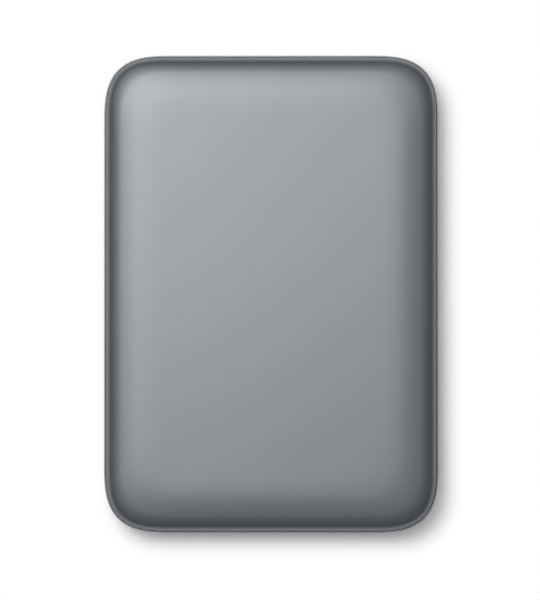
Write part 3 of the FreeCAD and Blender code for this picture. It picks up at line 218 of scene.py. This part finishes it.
def settle(piece_name):
    """Put the newest primitive's place and scale into its mesh and name it."""
    piece = bpy.context.active_object
    piece.name = piece_name
    piece.data.name = piece_name
    bpy.ops.object.transform_apply(location=True, rotation=True, scale=True)
    return piece


def new_block(piece_name, low, high):
    """Add a block between two corners."""
    bpy.ops.object.select_all(action="DESELECT")
    bpy.ops.mesh.primitive_cube_add(size=1, location=middle_of(low, high),
                                    scale=[b - a for a, b in zip(low, high)])
    return settle(piece_name)


def new_bar(piece_name, steps, radius, depth, middle, turn=(0, 0, 0)):
    """Add a round bar about its middle."""
    bpy.ops.object.select_all(action="DESELECT")
    bpy.ops.mesh.primitive_cylinder_add(vertices=steps, radius=radius, depth=depth, location=middle,
                                        rotation=turn)
    return settle(piece_name)


def round_block(piece, axis, reach, steps, fullness=0.5):
    """Round the edges of a block that run along one axis."""
    bpy.ops.object.mode_set(mode="EDIT")
    bpy.ops.mesh.select_mode(type="EDGE")
    bpy.ops.mesh.select_all(action="DESELECT")
    work = bmesh.from_edit_mesh(piece.data)
    for edge in work.edges:
        first, second = [corner.co for corner in edge.verts]
        edge.select_set(abs(getattr(first, axis) - getattr(second, axis)) > TINY)
    bmesh.update_edit_mesh(piece.data)
    bpy.ops.mesh.bevel(offset=reach, segments=steps, profile=fullness, affect="EDGES", clamp_overlap=False)
    bpy.ops.object.mode_set(mode="OBJECT")


def plan_block(piece_name, sizes, inset, low, high):
    """Add a block with the case's plan, inset all round, between two levels."""
    wide = sizes.half_width - inset
    long = sizes.half_length - inset
    piece = new_block(piece_name, (-wide, -long, low), (wide, long, high))
    round_block(piece, "z", sizes.corner - inset * CORNER_SHRINK, sizes.corner_steps, sizes.corner_swell)
    return piece


def soften_base(piece, sizes, rim):
    """Round the lower rim into a soft edge of its width, then press that edge to its height."""
    turn = rim + sizes.base_edge
    bpy.ops.object.mode_set(mode="EDIT")
    choose(piece, "EDGE", near(rim))
    bpy.ops.mesh.bevel(offset=sizes.base_edge, segments=sizes.edge_steps, profile=sizes.base_edge_swell,
                       affect="EDGES", clamp_overlap=False)
    choose(piece, "VERT", lambda point: turn - point.z > TINY)
    bpy.ops.transform.resize(value=(1, 1, sizes.base_edge_height / sizes.base_edge),
                             center_override=(0, 0, turn))
    choose(piece, "FACE", near(turn - sizes.base_edge_height))
    bpy.ops.mesh.inset(thickness=FLAT_BORDER, depth=0)
    bpy.ops.object.mode_set(mode="OBJECT")


def edge_section(sizes):
    """Reach and level of each point over the upper soft edge, from the side to the flat top."""
    radii = (sizes.nose, sizes.shoulder, sizes.crown, sizes.ease)
    tilts = (math.pi / 2, sizes.shoulder_tilt, sizes.crown_tilt, sizes.ease_tilt, 0)
    section = [(0, 0)]
    for radius, low, high in zip(radii, tilts, tilts[1:]):
        reach, level = section[-1]
        for step in range(1, sizes.edge_steps + 1):
            tilt = low + (high - low) * step / sizes.edge_steps
            section.append((reach + radius * (math.sin(low) - math.sin(tilt)),
                            level + radius * (math.cos(tilt) - math.cos(low))))
    start = sizes.top - section[-1][1]
    return [(reach, start + level) for reach, level in section]


def draw_edge(piece, sizes, inset, section):
    """Draw the flat rim of a block up along a section, loop by loop."""
    wide = sizes.half_width - inset
    long = sizes.half_length - inset
    bpy.ops.object.mode_set(mode="EDIT")
    choose(piece, "FACE", near(section[0][1]))
    for (last, below), (reach, level) in zip(section, section[1:]):
        bpy.ops.mesh.extrude_region_move(TRANSFORM_OT_translate={"value": (0, 0, level - below)})
        bpy.ops.transform.resize(value=((wide - reach) / (wide - last), (long - reach) / (long - last), 1),
                                 center_override=(0, 0, 0))
    bpy.ops.mesh.inset(thickness=FLAT_BORDER, depth=0)
    bpy.ops.object.mode_set(mode="OBJECT")


def open_face(piece, level):
    """Take away the flat face at a level."""
    bpy.ops.object.mode_set(mode="EDIT")
    choose(piece, "FACE", near(level))
    bpy.ops.mesh.delete(type="FACE")
    bpy.ops.object.mode_set(mode="OBJECT")


def thicken(piece, wall):
    """Give an open skin its wall, inwards."""
    bpy.context.view_layer.objects.active = piece
    shell = piece.modifiers.new("wall", "SOLIDIFY")
    shell.thickness = wall
    shell.offset = -1
    shell.use_even_offset = True
    shell.use_quality_normals = True
    bpy.ops.object.modifier_apply(modifier=shell.name)


def cut_away(piece, cutter):
    """Cut one piece out of another and drop the cutter."""
    pick(piece)
    opening = piece.modifiers.new("opening", "BOOLEAN")
    opening.operation = "DIFFERENCE"
    opening.solver = "EXACT"
    opening.object = cutter
    bpy.ops.object.modifier_apply(modifier=opening.name)
    bpy.data.objects.remove(cutter)


def port_cutter(sizes):
    """A block with rounded long edges, as large as the port opening."""
    low = (SOCKET_LOW[0] - sizes.port_gap, sizes.half_length - PORT_IN, SOCKET_LOW[2] - sizes.port_gap)
    high = (SOCKET_HIGH[0] + sizes.port_gap, sizes.half_length + PORT_OUT, SOCKET_HIGH[2] + sizes.port_gap)
    cutter = new_block("port_cutter", low, high)
    round_block(cutter, "y", sizes.port_corner, RIM_STEPS)
    return cutter


def light_cutter(sizes):
    """A round bar, as thick as the light guide's hole."""
    radius = (LIGHT_HIGH[0] - LIGHT_LOW[0]) / 2
    middle = (middle_of(LIGHT_LOW, LIGHT_HIGH)[0], sizes.half_length, LIGHT_HIGH[2] - radius)
    return new_bar("light_cutter", LIGHT_STEPS, radius + sizes.light_gap, LIGHT_CUT, middle,
                   (math.pi / 2, 0, 0))


def seat(piece, body, slot, *nodes):
    """Shade a finished piece, let it ride on its body and stand for its nodes."""
    pick(piece)
    bpy.ops.object.shade_smooth_by_angle(angle=SMOOTH_ANGLE)
    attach(piece, body)
    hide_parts(*nodes)
    piece.data.materials.clear()
    piece.data.materials.append(finish_for(slot))


# Finish helpers
# Sockets of the Mix node, which has a set for each kind of value
FACTOR, VALUE_A, VALUE_B, VALUE_OUT = 0, 2, 3, 0
COLOUR_A, COLOUR_B, COLOUR_OUT = 6, 7, 2


def node(tree, kind, sockets=None, links=None, **settings):
    """Add a node with its settings, input values and input links."""
    made = tree.nodes.new(kind)
    for name, value in settings.items():
        setattr(made, name, value)
    for name, value in (sockets or {}).items():
        made.inputs[name].default_value = value
    for name, source in (links or {}).items():
        tree.links.new(source, made.inputs[name])
    return made


def begin(name):
    """Start a material and hand back its tree and the object's own coordinates."""
    material = bpy.data.materials.new(name)
    material.use_nodes = True
    tree = material.node_tree
    return material, tree, node(tree, "ShaderNodeTexCoord").outputs["Object"]


def shader_of(tree, metallic, ior):
    """The shader of a finish, with what is the same all over it; a metal keeps the default IOR."""
    shader = tree.nodes["Principled BSDF"]
    shader.inputs["Metallic"].default_value = metallic
    if ior:
        shader.inputs["IOR"].default_value = ior
    return shader


def dress(tree, shader, height, tints, roughness, depth):
    """Let one pattern drive the colour, the gloss and the relief of a finish."""
    tint = node(tree, "ShaderNodeMix", {COLOUR_A: (*tints[0], 1), COLOUR_B: (*tints[1], 1)},
                {FACTOR: height}, data_type="RGBA")
    gloss = node(tree, "ShaderNodeMapRange", {"To Min": roughness[0], "To Max": roughness[1]},
                 {"Value": height})
    relief = node(tree, "ShaderNodeBump", {"Distance": depth * MM}, {"Height": height})
    tree.links.new(tint.outputs[COLOUR_OUT], shader.inputs["Base Color"])
    tree.links.new(gloss.outputs["Result"], shader.inputs["Roughness"])
    tree.links.new(relief.outputs["Normal"], shader.inputs["Normal"])


def shade(code):
    """The linear colour of a hex code, or of the user's colour of that name."""
    return linear(code) if code.startswith("#") else getattr(bpy.context.scene.drive_colours, code)


def tone(base, share):
    """A little lighter or darker than a linear colour."""
    return [min(1.0, value * share) for value in base]


def wave_scale(pitch):
    """Scale that gives the wave texture a pitch in millimetres; at one, it repeats every 2 pi / 20."""
    return math.pi / (10 * pitch * MM)


def grained(name, base, spread, roughness, grain, depth, metallic=0.0, ior=None, stretch=(1, 1, 1)):
    """An irregular grain: moulded, cast, rolled or plated, by its size, depth and stretch."""
    material, tree, place = begin(name)
    aligned = node(tree, "ShaderNodeMapping", {"Scale": stretch}, {"Vector": place})
    grains = node(tree, "ShaderNodeTexNoise", {"Scale": 1 / (grain * MM), "Detail": 3.0},
                  {"Vector": aligned.outputs["Vector"]})
    tints = [tone(shade(base), share) for share in (1 - spread, 1 + spread)]
    dress(tree, shader_of(tree, metallic, ior), grains.outputs["Fac"], tints, roughness, depth)
    return material


def banded(name, tints, roughness, pitch, depth, metallic=0.0, ior=None, centre=(0, 0, 0), **wave):
    """Even bands or rings: wound, stacked, turned or printed, by their pitch in millimetres."""
    material, tree, place = begin(name)
    aligned = node(tree, "ShaderNodeMapping", {"Location": [-value for value in centre]}, {"Vector": place})
    bands = node(tree, "ShaderNodeTexWave", {"Scale": wave_scale(pitch), "Distortion": 0.4},
                 {"Vector": aligned.outputs["Vector"]}, **wave)
    colours = [shade(code) for code in tints]
    dress(tree, shader_of(tree, metallic, ior), bands.outputs["Fac"], colours, roughness, depth)
    return material


def woven(name, tints, roughness, pitch, depth, ior):
    """Two crossing sets of threads, by their pitch in millimetres."""
    material, tree, place = begin(name)
    threads = [node(tree, "ShaderNodeTexWave", {"Scale": wave_scale(pitch), "Distortion": 0.6},
                    {"Vector": place}, bands_direction=axis).outputs["Fac"] for axis in "XY"]
    weave = node(tree, "ShaderNodeMath", links={0: threads[0], 1: threads[1]}, operation="MAXIMUM")
    colours = [shade(code) for code in tints]
    dress(tree, shader_of(tree, 0.0, ior), weave.outputs["Value"], colours, roughness, depth)
    return material


def clear(name, base, roughness, grain, depth, transmission, ior):
    """Clear or milky resin, with faint flow marks."""
    material, tree, place = begin(name)
    shader = shader_of(tree, 0.0, ior)
    shader.inputs["Transmission Weight"].default_value = transmission
    flow = node(tree, "ShaderNodeTexNoise", {"Scale": 1 / (grain * MM), "Detail": 2.0}, {"Vector": place})
    # Flow marks a little darker and lighter than the resin
    tints = [tone(shade(base), share) for share in (0.94, 1.04)]
    dress(tree, shader, flow.outputs["Fac"], tints, roughness, depth)
    return material


def flake_abs(name, base, spread, roughness, depth, metallic, ior):
    """Metal-flake plastic: each flake has its own tint, the gloss follows the melt, the relief the mould."""
    material, tree, place = begin(name)
    shader = shader_of(tree, metallic, ior)
    # Spark marks of 0.12 mm, drawn at 0.3 mm so that they show in a near view
    sparks = node(tree, "ShaderNodeTexNoise", {"Scale": 1 / (0.3 * MM), "Detail": 4.0}, {"Vector": place})
    # Flakes of 0.05 mm, drawn at 0.25 mm for the same reason
    flakes = node(tree, "ShaderNodeTexVoronoi", {"Scale": 1 / (0.25 * MM)}, {"Vector": place})
    # Flow of the melt from the gate, over about 30 mm
    flow = node(tree, "ShaderNodeTexNoise", {"Scale": 1 / (30 * MM), "Detail": 2.0}, {"Vector": place})
    dark, light = [tone(shade(base), share) for share in (1 - spread, 1 + spread)]
    sparkle = node(tree, "ShaderNodeMix", {COLOUR_A: (*dark, 1), COLOUR_B: (*light, 1)},
                   {FACTOR: flakes.outputs["Color"]}, data_type="RGBA")
    gloss = node(tree, "ShaderNodeMapRange", {"To Min": roughness[0], "To Max": roughness[1]},
                 {"Value": flow.outputs["Fac"]})
    relief = node(tree, "ShaderNodeBump", {"Strength": 0.6, "Distance": depth * MM},
                  {"Height": sparks.outputs["Fac"]})
    tree.links.new(sparkle.outputs[COLOUR_OUT], shader.inputs["Base Color"])
    tree.links.new(gloss.outputs["Result"], shader.inputs["Roughness"])
    tree.links.new(relief.outputs["Normal"], shader.inputs["Normal"])
    return material


# Rings turned round the spindle's axis, which stands in the middle of the platter
RINGS = dict(wave_type="RINGS", rings_direction="Z", centre=(0, middle_of(PLATTER_LOW, PLATTER_HIGH)[1], 0))

# The finish of each material slot: how it is made, and with what. Sizes of grain, pitch and depth are in mm.
RECIPES = {
    # Satin plastic with metal flake, moulded against spark-eroded steel: a broad soft sheen, no visible grain
    "case_plastic": (flake_abs, dict(
        name="satin_flake_abs_moulded", base="case", spread=0.007, roughness=(0.28, 0.32), depth=0.001,
        metallic=0.6, ior=1.53)),
    # Moulded rubbers: matt and dark, with a fine pebble and no sheen
    "foot_rubber": (grained, dict(
        name="silicone_rubber_moulded", base="rubber", spread=0.18, roughness=(0.62, 0.78), grain=0.5,
        depth=0.02, ior=1.41)),
    "bumper_rubber": (grained, dict(
        name="nitrile_rubber_moulded", base="#1E1F21", spread=0.15, roughness=(0.65, 0.8), grain=0.6,
        depth=0.02, ior=1.52)),
    "gasket_rubber": (grained, dict(
        name="foam_gasket_cut", base="#2B2C2E", spread=0.25, roughness=(0.8, 0.92), grain=0.3,
        depth=0.05, ior=1.5)),
    "stop_rubber": (grained, dict(
        name="urethane_stop_moulded", base="#5A4A32", spread=0.12, roughness=(0.45, 0.6), grain=0.4,
        depth=0.01, ior=1.5)),
    # Moulded resins: even colour with faint flow, glassier than rubber
    "connector_plastic": (grained, dict(
        name="glass_filled_resin_moulded", base="#1B1C1E", spread=0.2, roughness=(0.38, 0.55), grain=0.35,
        depth=0.008, ior=1.6, stretch=(1, 0.2, 1))),
    "ramp_plastic": (grained, dict(
        name="acetal_moulded", base="#E4DFD2", spread=0.03, roughness=(0.3, 0.42), grain=0.5,
        depth=0.003, ior=1.48)),
    "chip_epoxy": (grained, dict(
        name="epoxy_package_moulded", base="#222326", spread=0.22, roughness=(0.5, 0.66), grain=0.25,
        depth=0.01, ior=1.55)),
    # Clear and milky resins: smooth, with light passing through
    "light_guide": (clear, dict(
        name="polycarbonate_moulded_clear", base="#F1F3F4", roughness=(0.1, 0.18), grain=2.0, depth=0.002,
        transmission=1.0, ior=1.585)),
    "indicator_lens": (clear, dict(
        name="epoxy_lens_cast_milky", base="#F4F1E2", roughness=(0.25, 0.35), grain=0.4, depth=0.002,
        transmission=0.35, ior=1.5)),
    # Woven glass under solder mask: the weave shows faintly through a glossy green coat
    "board_laminate": (woven, dict(
        name="glass_laminate_masked", tints=("#14401F", "#1D5A2C"), roughness=(0.28, 0.4), pitch=0.5,
        depth=0.006, ior=1.52)),
    # Needled fibre: white, soft and wholly matt
    "filter_cloth": (woven, dict(
        name="polyester_felt_needled", tints=("#D9D9D4", "#F3F3EF"), roughness=(0.85, 0.95), pitch=0.25,
        depth=0.03, ior=1.5)),
    # Sheet and strip: fine lines along the rolling or the brush stretch its reflections
    "socket_steel": (grained, dict(
        name="stainless_strip_rolled", base="steel", spread=0.08, roughness=(0.24, 0.36), grain=0.2,
        depth=0.003, metallic=1.0, stretch=(1, 0.05, 1))),
    "can_steel": (grained, dict(
        name="kovar_can_drawn", base="#C4C2BB", spread=0.06, roughness=(0.22, 0.32), grain=0.3,
        depth=0.003, metallic=1.0)),
    "lid_steel": (grained, dict(
        name="stainless_sheet_brushed", base="#B9BABC", spread=0.08, roughness=(0.26, 0.38), grain=0.3,
        depth=0.004, metallic=1.0, stretch=(1, 0.03, 1))),
    "spring_steel": (grained, dict(
        name="spring_steel_etched", base="#B3B1AC", spread=0.06, roughness=(0.2, 0.3), grain=0.15,
        depth=0.002, metallic=1.0, stretch=(0.1, 1, 1))),
    # Cast and machined aluminium: sandy where cast, fine rings where turned
    "cast_aluminium": (grained, dict(
        name="aluminium_die_cast", base="#9FA2A5", spread=0.12, roughness=(0.42, 0.6), grain=0.7,
        depth=0.02, metallic=1.0)),
    "machined_aluminium": (banded, dict(
        name="aluminium_turned", tints=("#C6C8CA", "#DADCDD"), roughness=(0.2, 0.3), pitch=0.15,
        depth=0.002, metallic=1.0, **RINGS)),
    # Sputtered glass: a mirror, with rings too faint to see except in a low light
    "platter_mirror": (banded, dict(
        name="glass_disc_sputtered", tints=("#D2D3D5", "#D8D9DB"), roughness=(0.03, 0.05), pitch=0.4,
        depth=0.0002, metallic=1.0, **RINGS)),
    # Headed and ground steels: bright, with short scratches round the axis where ground
    "screw_steel": (grained, dict(
        name="zinc_plated_steel_headed", base="#B6B8BC", spread=0.1, roughness=(0.26, 0.4), grain=0.25,
        depth=0.004, metallic=1.0)),
    "bearing_steel": (grained, dict(
        name="bearing_steel_ground", base="#BDBEC0", spread=0.05, roughness=(0.12, 0.2), grain=0.3,
        depth=0.001, metallic=1.0, stretch=(1, 1, 8))),
    # Stacked laminations: thin dark lines between bright edges
    "core_steel": (banded, dict(
        name="silicon_steel_stacked", tints=("#6E6F70", "#A3A4A5"), roughness=(0.32, 0.46), pitch=0.2,
        depth=0.01, metallic=1.0, bands_direction="Z")),
    # Enamelled wire: side by side strands with a warm varnish gloss
    "copper_wire": (banded, dict(
        name="copper_wire_enamelled", tints=("#8A4A26", "#C9793F"), roughness=(0.24, 0.36), pitch=0.25,
        depth=0.03, metallic=1.0, bands_direction="DIAGONAL")),
    # Plated faces: bright with a faint orange peel
    "contact_gold": (grained, dict(
        name="gold_plated_bronze", base="#E8C46A", spread=0.05, roughness=(0.18, 0.28), grain=0.3,
        depth=0.001, metallic=1.0)),
    "magnet_nickel": (grained, dict(
        name="nickel_plated_magnet", base="#C3C1BA", spread=0.05, roughness=(0.14, 0.24), grain=0.8,
        depth=0.004, metallic=1.0)),
    # Fired ceramics: fine, even and slightly speckled
    "capacitor_ceramic": (grained, dict(
        name="barium_ceramic_fired", base="#A98B63", spread=0.1, roughness=(0.4, 0.55), grain=0.2,
        depth=0.004, ior=1.9)),
    "slider_ceramic": (grained, dict(
        name="alumina_ceramic_lapped", base="#34353A", spread=0.12, roughness=(0.12, 0.22), grain=0.15,
        depth=0.001, ior=1.76)),
    # Polyimide film: amber, with the copper tracks darker under it
    "ribbon_film": (banded, dict(
        name="polyimide_film_printed", tints=("#7A4A17", "#C58530"), roughness=(0.2, 0.34), pitch=0.3,
        depth=0.004, ior=1.7, bands_direction="Z")),
}

FINISHES = {}


def finish_for(slot):
    """The finish of a slot, made once."""
    if slot not in RECIPES:
        raise RuntimeError(f"no finish is known for the slot {slot}")
    if slot not in FINISHES:
        make, settings = RECIPES[slot]
        FINISHES[slot] = make(**settings)
    return FINISHES[slot]


# Operators
class DRIVE_OT_finish_parts(Operator):
    """Give every part of the frame the finish of its material slot"""

    bl_idname = "drive.finish_parts"
    bl_label = "Finish parts"

    def execute(self, context):
        slots = {part["node"]: part["material_slot"] for part in frame["record"]["subparts"]}
        for name, part in frame["nodes"].items():
            if not part.material_slots:
                part.data.materials.append(None)
            for place in part.material_slots:
                place.material = finish_for(slots[name])
        return {"FINISHED"}


class DRIVE_OT_top_cover(Operator):
    """Mould the soft-edged upper cover with its locating tongue"""

    bl_idname = "drive.top_cover"
    bl_label = "Top cover"

    def execute(self, context):
        sizes = context.scene.drive_sizes
        ledge = sizes.seam - sizes.lip_height
        inset = sizes.lip + sizes.gap
        section = edge_section(sizes)
        cover = plan_block("top_cover_skin", sizes, inset, ledge, section[0][1])
        draw_edge(cover, sizes, inset, section)
        open_face(cover, ledge)
        thicken(cover, sizes.wall)
        low = TOP_LOW[2]
        high = low + sizes.tongue_rise
        tongue = plan_block("tongue", sizes, sizes.wall + sizes.tongue_gap, low, high)
        open_face(tongue, low)
        open_face(tongue, high)
        thicken(tongue, sizes.tongue)
        cut_away(tongue, port_cutter(sizes))
        cut_away(tongue, light_cutter(sizes))
        pick(cover, tongue)
        bpy.ops.object.join()
        seat(cover, "case", "case_plastic", "top_cover")
        return {"FINISHED"}


class DRIVE_OT_bottom_cover(Operator):
    """Mould the soft-edged lower cover with its lip, port, light hole and foot recesses"""

    bl_idname = "drive.bottom_cover"
    bl_label = "Bottom cover"

    def execute(self, context):
        sizes = context.scene.drive_sizes
        # The soft edge is rounded as high as it is wide, so its rim starts below the base
        rim = sizes.base + sizes.base_edge_height - sizes.base_edge
        cover = plan_block("bottom_cover_skin", sizes, 0, rim, sizes.seam)
        soften_base(cover, sizes, rim)
        open_face(cover, sizes.seam)
        thicken(cover, sizes.wall)
        cut_away(cover, self.lip_cutter(sizes))
        cut_away(cover, port_cutter(sizes))
        cut_away(cover, light_cutter(sizes))
        for number in FEET:
            low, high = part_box(f"foot_{number}")
            across, along, _ = middle_of(low, high)
            recess = new_bar("recess_cutter", FOOT_STEPS, (high[0] - low[0]) / 2 + sizes.foot_gap,
                             2 * (high[2] - sizes.base), (across, along, sizes.base))
            cut_away(cover, recess)
        seat(cover, "case", "case_plastic", "bottom_cover")
        return {"FINISHED"}

    def lip_cutter(self, sizes):
        """A block as large as the inside of the lip, with a ridge under its rim for the groove."""
        ledge = sizes.seam - sizes.lip_height
        cutter = plan_block("lip_cutter", sizes, sizes.lip, ledge, sizes.seam + LIP_CLEAR)
        bpy.ops.object.mode_set(mode="EDIT")
        choose(cutter, "FACE", near(ledge))
        for drop in (-sizes.groove, sizes.groove):
            bpy.ops.mesh.inset(thickness=sizes.gap / 2, depth=0)
            bpy.ops.transform.translate(value=(0, 0, drop))
        bpy.ops.object.mode_set(mode="OBJECT")
        return cutter


class DRIVE_OT_feet(Operator):
    """Turn one rubber foot with a round rim and a shallow dish, and copy it to the other recesses"""

    bl_idname = "drive.feet"
    bl_label = "Feet"

    def execute(self, context):
        sizes = context.scene.drive_sizes
        low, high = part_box("foot_1")
        first = middle_of(low, high)
        foot = new_bar("rubber_foot_1", FOOT_STEPS, (high[0] - low[0]) / 2, high[2] - low[2], first)
        bpy.ops.object.mode_set(mode="EDIT")
        choose(foot, "EDGE", near(low[2]))
        bpy.ops.mesh.bevel(offset=sizes.foot_rim, segments=RIM_STEPS, affect="EDGES", clamp_overlap=False)
        choose(foot, "FACE", near(low[2], STRICT))
        bpy.ops.mesh.inset(thickness=sizes.foot_land, depth=0)
        bpy.ops.mesh.inset(thickness=sizes.foot_slope, depth=0)
        bpy.ops.transform.translate(value=(0, 0, sizes.foot_dish))
        bpy.ops.object.mode_set(mode="OBJECT")
        feet = [foot]
        for number in FEET[1:]:
            across, along, _ = middle_of(*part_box(f"foot_{number}"))
            pick(foot)
            bpy.ops.object.duplicate(linked=False)
            bpy.ops.transform.translate(value=(across - first[0], along - first[1], 0))
            feet.append(settle(f"rubber_foot_{number}"))
        for number, piece in zip(FEET, feet):
            seat(piece, "case", "foot_rubber", f"foot_{number}")
        return {"FINISHED"}


class DRIVE_OT_stage(Operator):
    """Lay the floor, hang the soft light and set the camera straight above the drive"""

    bl_idname = "drive.stage"
    bl_label = "Stage"

    def execute(self, context):
        scene = context.scene
        colours = scene.drive_colours
        bpy.ops.object.select_all(action="DESELECT")
        bpy.ops.mesh.primitive_plane_add(size=FLOOR_SIZE)
        floor = bpy.context.active_object
        floor.name = "floor"
        floor.data.materials.append(self.paper(scene.drive_sizes, colours))
        bpy.ops.mesh.primitive_plane_add(size=SILK_SIZE, location=(0, 0, SILK_HEIGHT),
                                         rotation=(math.pi, 0, 0))
        diffuser = settle("diffuser")
        diffuser.visible_camera = False
        diffuser.data.materials.append(self.silk(colours))
        world = bpy.data.worlds.new("studio")
        world.use_nodes = True
        room = world.node_tree.nodes["Background"]
        room.inputs["Color"].default_value = (*colours.fill, 1)
        room.inputs["Strength"].default_value = ROOM_STRENGTH
        scene.world = world
        scene.view_settings.view_transform = "Standard"
        bpy.ops.object.camera_add(location=CAMERA_PLACE, rotation=(0, 0, 0))
        camera = bpy.context.active_object
        camera.data.lens = CAMERA_LENS
        camera.data.sensor_width = CAMERA_SENSOR
        camera.data.clip_start = CAMERA_NEAR
        scene.camera = camera
        return {"FINISHED"}

    def paper(self, sizes, colours):
        """White seamless paper, matt: it takes the soft shadow near the drive, and further out a painted
        white glow covers it and cuts the shadow off at a painted edge.
        """
        material, tree, place = begin("seamless_paper_matt")
        tree.nodes.remove(tree.nodes["Principled BSDF"])
        # Clumps of fibre, 0.6 mm across
        fibres = node(tree, "ShaderNodeTexNoise", {"Scale": 1 / (0.6 * MM)}, {"Vector": place})
        relief = node(tree, "ShaderNodeBump", {"Strength": 0.2, "Distance": 0.01 * MM},
                      {"Height": fibres.outputs["Fac"]})
        paper = node(tree, "ShaderNodeBsdfDiffuse", {"Color": (*colours.floor, 1)},
                     {"Normal": relief.outputs["Normal"]})
        # The camera takes the paper brighter than it is, as a studio picture does, so that it reads as white
        lift = node(tree, "ShaderNodeBsdfDiffuse", {"Color": (*colours.lift, 1)},
                    {"Normal": relief.outputs["Normal"]})
        taken = node(tree, "ShaderNodeAddShader", links={0: paper.outputs["BSDF"], 1: lift.outputs["BSDF"]})
        path = node(tree, "ShaderNodeLightPath")
        near_drive = node(tree, "ShaderNodeMixShader", links={
            0: path.outputs["Is Camera Ray"], 1: paper.outputs["BSDF"], 2: taken.outputs["Shader"]})
        # Painted white glow over the paper, which hides the shadow away from the drive
        white = node(tree, "ShaderNodeEmission", {"Strength": 1})
        # How far a point of the paper lies from the drive's rounded outline, measured from the corners'
        # centres; the outline is moved the way the light casts the shadow, and beyond it a painted white
        # covers the paper, so it is the painted edge of the shadow
        core = (sizes.half_width - PAINTED_SHADOW_CORNER, sizes.half_length - PAINTED_SHADOW_CORNER, 0)
        moved = node(tree, "ShaderNodeVectorMath", {1: PAINTED_SHADOW_SHIFT}, {0: place}, operation="SUBTRACT")
        folded = node(tree, "ShaderNodeVectorMath", links={0: moved.outputs["Vector"]}, operation="ABSOLUTE")
        past = node(tree, "ShaderNodeVectorMath", {1: core}, {0: folded.outputs["Vector"]},
                    operation="SUBTRACT")
        beyond = node(tree, "ShaderNodeVectorMath", {1: (0, 0, 0)}, {0: past.outputs["Vector"]},
                      operation="MAXIMUM")
        reach = node(tree, "ShaderNodeVectorMath", links={0: beyond.outputs["Vector"]}, operation="LENGTH")
        # Painted edge of the shadow: from here outwards the painted white glow covers the paper
        far = node(tree, "ShaderNodeMapRange",
                   {"From Min": PAINTED_SHADOW_CORNER + PAINTED_SHADOW_START, "From Max": PAINTED_SHADOW_CORNER + PAINTED_SHADOW_END},
                   {"Value": reach.outputs["Value"]}, interpolation_type="SMOOTHSTEP")
        # A reflection keeps the whole shadow, and turns white further out
        middle = node(tree, "ShaderNodeVectorMath", links={0: place}, operation="LENGTH")
        distant = node(tree, "ShaderNodeMapRange", {"From Min": MIRROR_START, "From Max": MIRROR_END},
                       {"Value": middle.outputs["Value"]}, interpolation_type="SMOOTHSTEP")
        fade = node(tree, "ShaderNodeMix", links={
            FACTOR: path.outputs["Is Camera Ray"], VALUE_A: distant.outputs["Result"],
            VALUE_B: far.outputs["Result"]})
        shown = node(tree, "ShaderNodeMixShader", links={
            0: fade.outputs[VALUE_OUT], 1: near_drive.outputs["Shader"], 2: white.outputs["Emission"]})
        # Light that falls on the drive comes from the plain paper
        mirrored = node(tree, "ShaderNodeMath", links={
            0: path.outputs["Is Camera Ray"], 1: path.outputs["Is Glossy Ray"]}, operation="MAXIMUM")
        seen = node(tree, "ShaderNodeMath", links={
            0: mirrored.outputs["Value"], 1: path.outputs["Is Transmission Ray"]}, operation="MAXIMUM")
        both = node(tree, "ShaderNodeMixShader", links={
            0: seen.outputs["Value"], 1: paper.outputs["BSDF"], 2: shown.outputs["Shader"]})
        tree.links.new(both.outputs["Shader"], tree.nodes["Material Output"].inputs["Surface"])
        return material

    def silk(self, colours):
        """Diffuser silk lit from the upper left: brightest there, and fading to the other side."""
        material, tree, place = begin("diffuser_silk_lit")
        tree.nodes.remove(tree.nodes["Principled BSDF"])
        pools = []
        for centre, inner, outer, strength in POOLS:
            reach = node(tree, "ShaderNodeVectorMath", {1: centre}, {0: place}, operation="DISTANCE")
            pool = node(tree, "ShaderNodeMapRange",
                        {"From Min": inner, "From Max": outer, "To Min": strength, "To Max": 0},
                        {"Value": reach.outputs["Value"]}, interpolation_type="SMOOTHSTEP")
            pools.append(pool.outputs["Result"])
        power = node(tree, "ShaderNodeMath", links={0: pools[0], 1: pools[1]}, operation="ADD")
        glow = node(tree, "ShaderNodeEmission", links={"Strength": power.outputs["Value"]})
        fill = node(tree, "ShaderNodeEmission", {"Color": (*colours.fill, 1), "Strength": FILL_STRENGTH})
        lit = node(tree, "ShaderNodeAddShader", links={
            0: glow.outputs["Emission"], 1: fill.outputs["Emission"]})
        tree.links.new(lit.outputs["Shader"], tree.nodes["Material Output"].inputs["Surface"])
        return material


class DRIVE_PT_panel(Panel):
    """Sidebar list of the drive's pieces, sizes and colours"""

    bl_idname = "DRIVE_PT_panel"
    bl_label = "Portable drive"
    bl_space_type = "VIEW_3D"
    bl_region_type = "UI"
    bl_category = "Drive"

    def draw(self, context):
        layout = self.layout
        for step in STEPS:
            layout.operator(step.bl_idname)
        for group in (context.scene.drive_sizes, context.scene.drive_colours):
            for name in group.__annotations__:
                layout.prop(group, name)


STEPS = (DRIVE_OT_finish_parts, DRIVE_OT_top_cover, DRIVE_OT_bottom_cover, DRIVE_OT_feet, DRIVE_OT_stage)
CLASSES = (DriveSizes, DriveColours, *STEPS, DRIVE_PT_panel)


def register():
    for made in CLASSES:
        bpy.utils.register_class(made)
    bpy.types.Scene.drive_sizes = PointerProperty(type=DriveSizes)
    bpy.types.Scene.drive_colours = PointerProperty(type=DriveColours)


def unregister():
    del bpy.types.Scene.drive_colours
    del bpy.types.Scene.drive_sizes
    for made in reversed(CLASSES):
        bpy.utils.unregister_class(made)


def main():
    register()
    bpy.ops.drive.finish_parts()
    bpy.ops.drive.top_cover()
    bpy.ops.drive.bottom_cover()
    bpy.ops.drive.feet()
    bpy.ops.drive.stage()


if __name__ == "__main__":
    main()
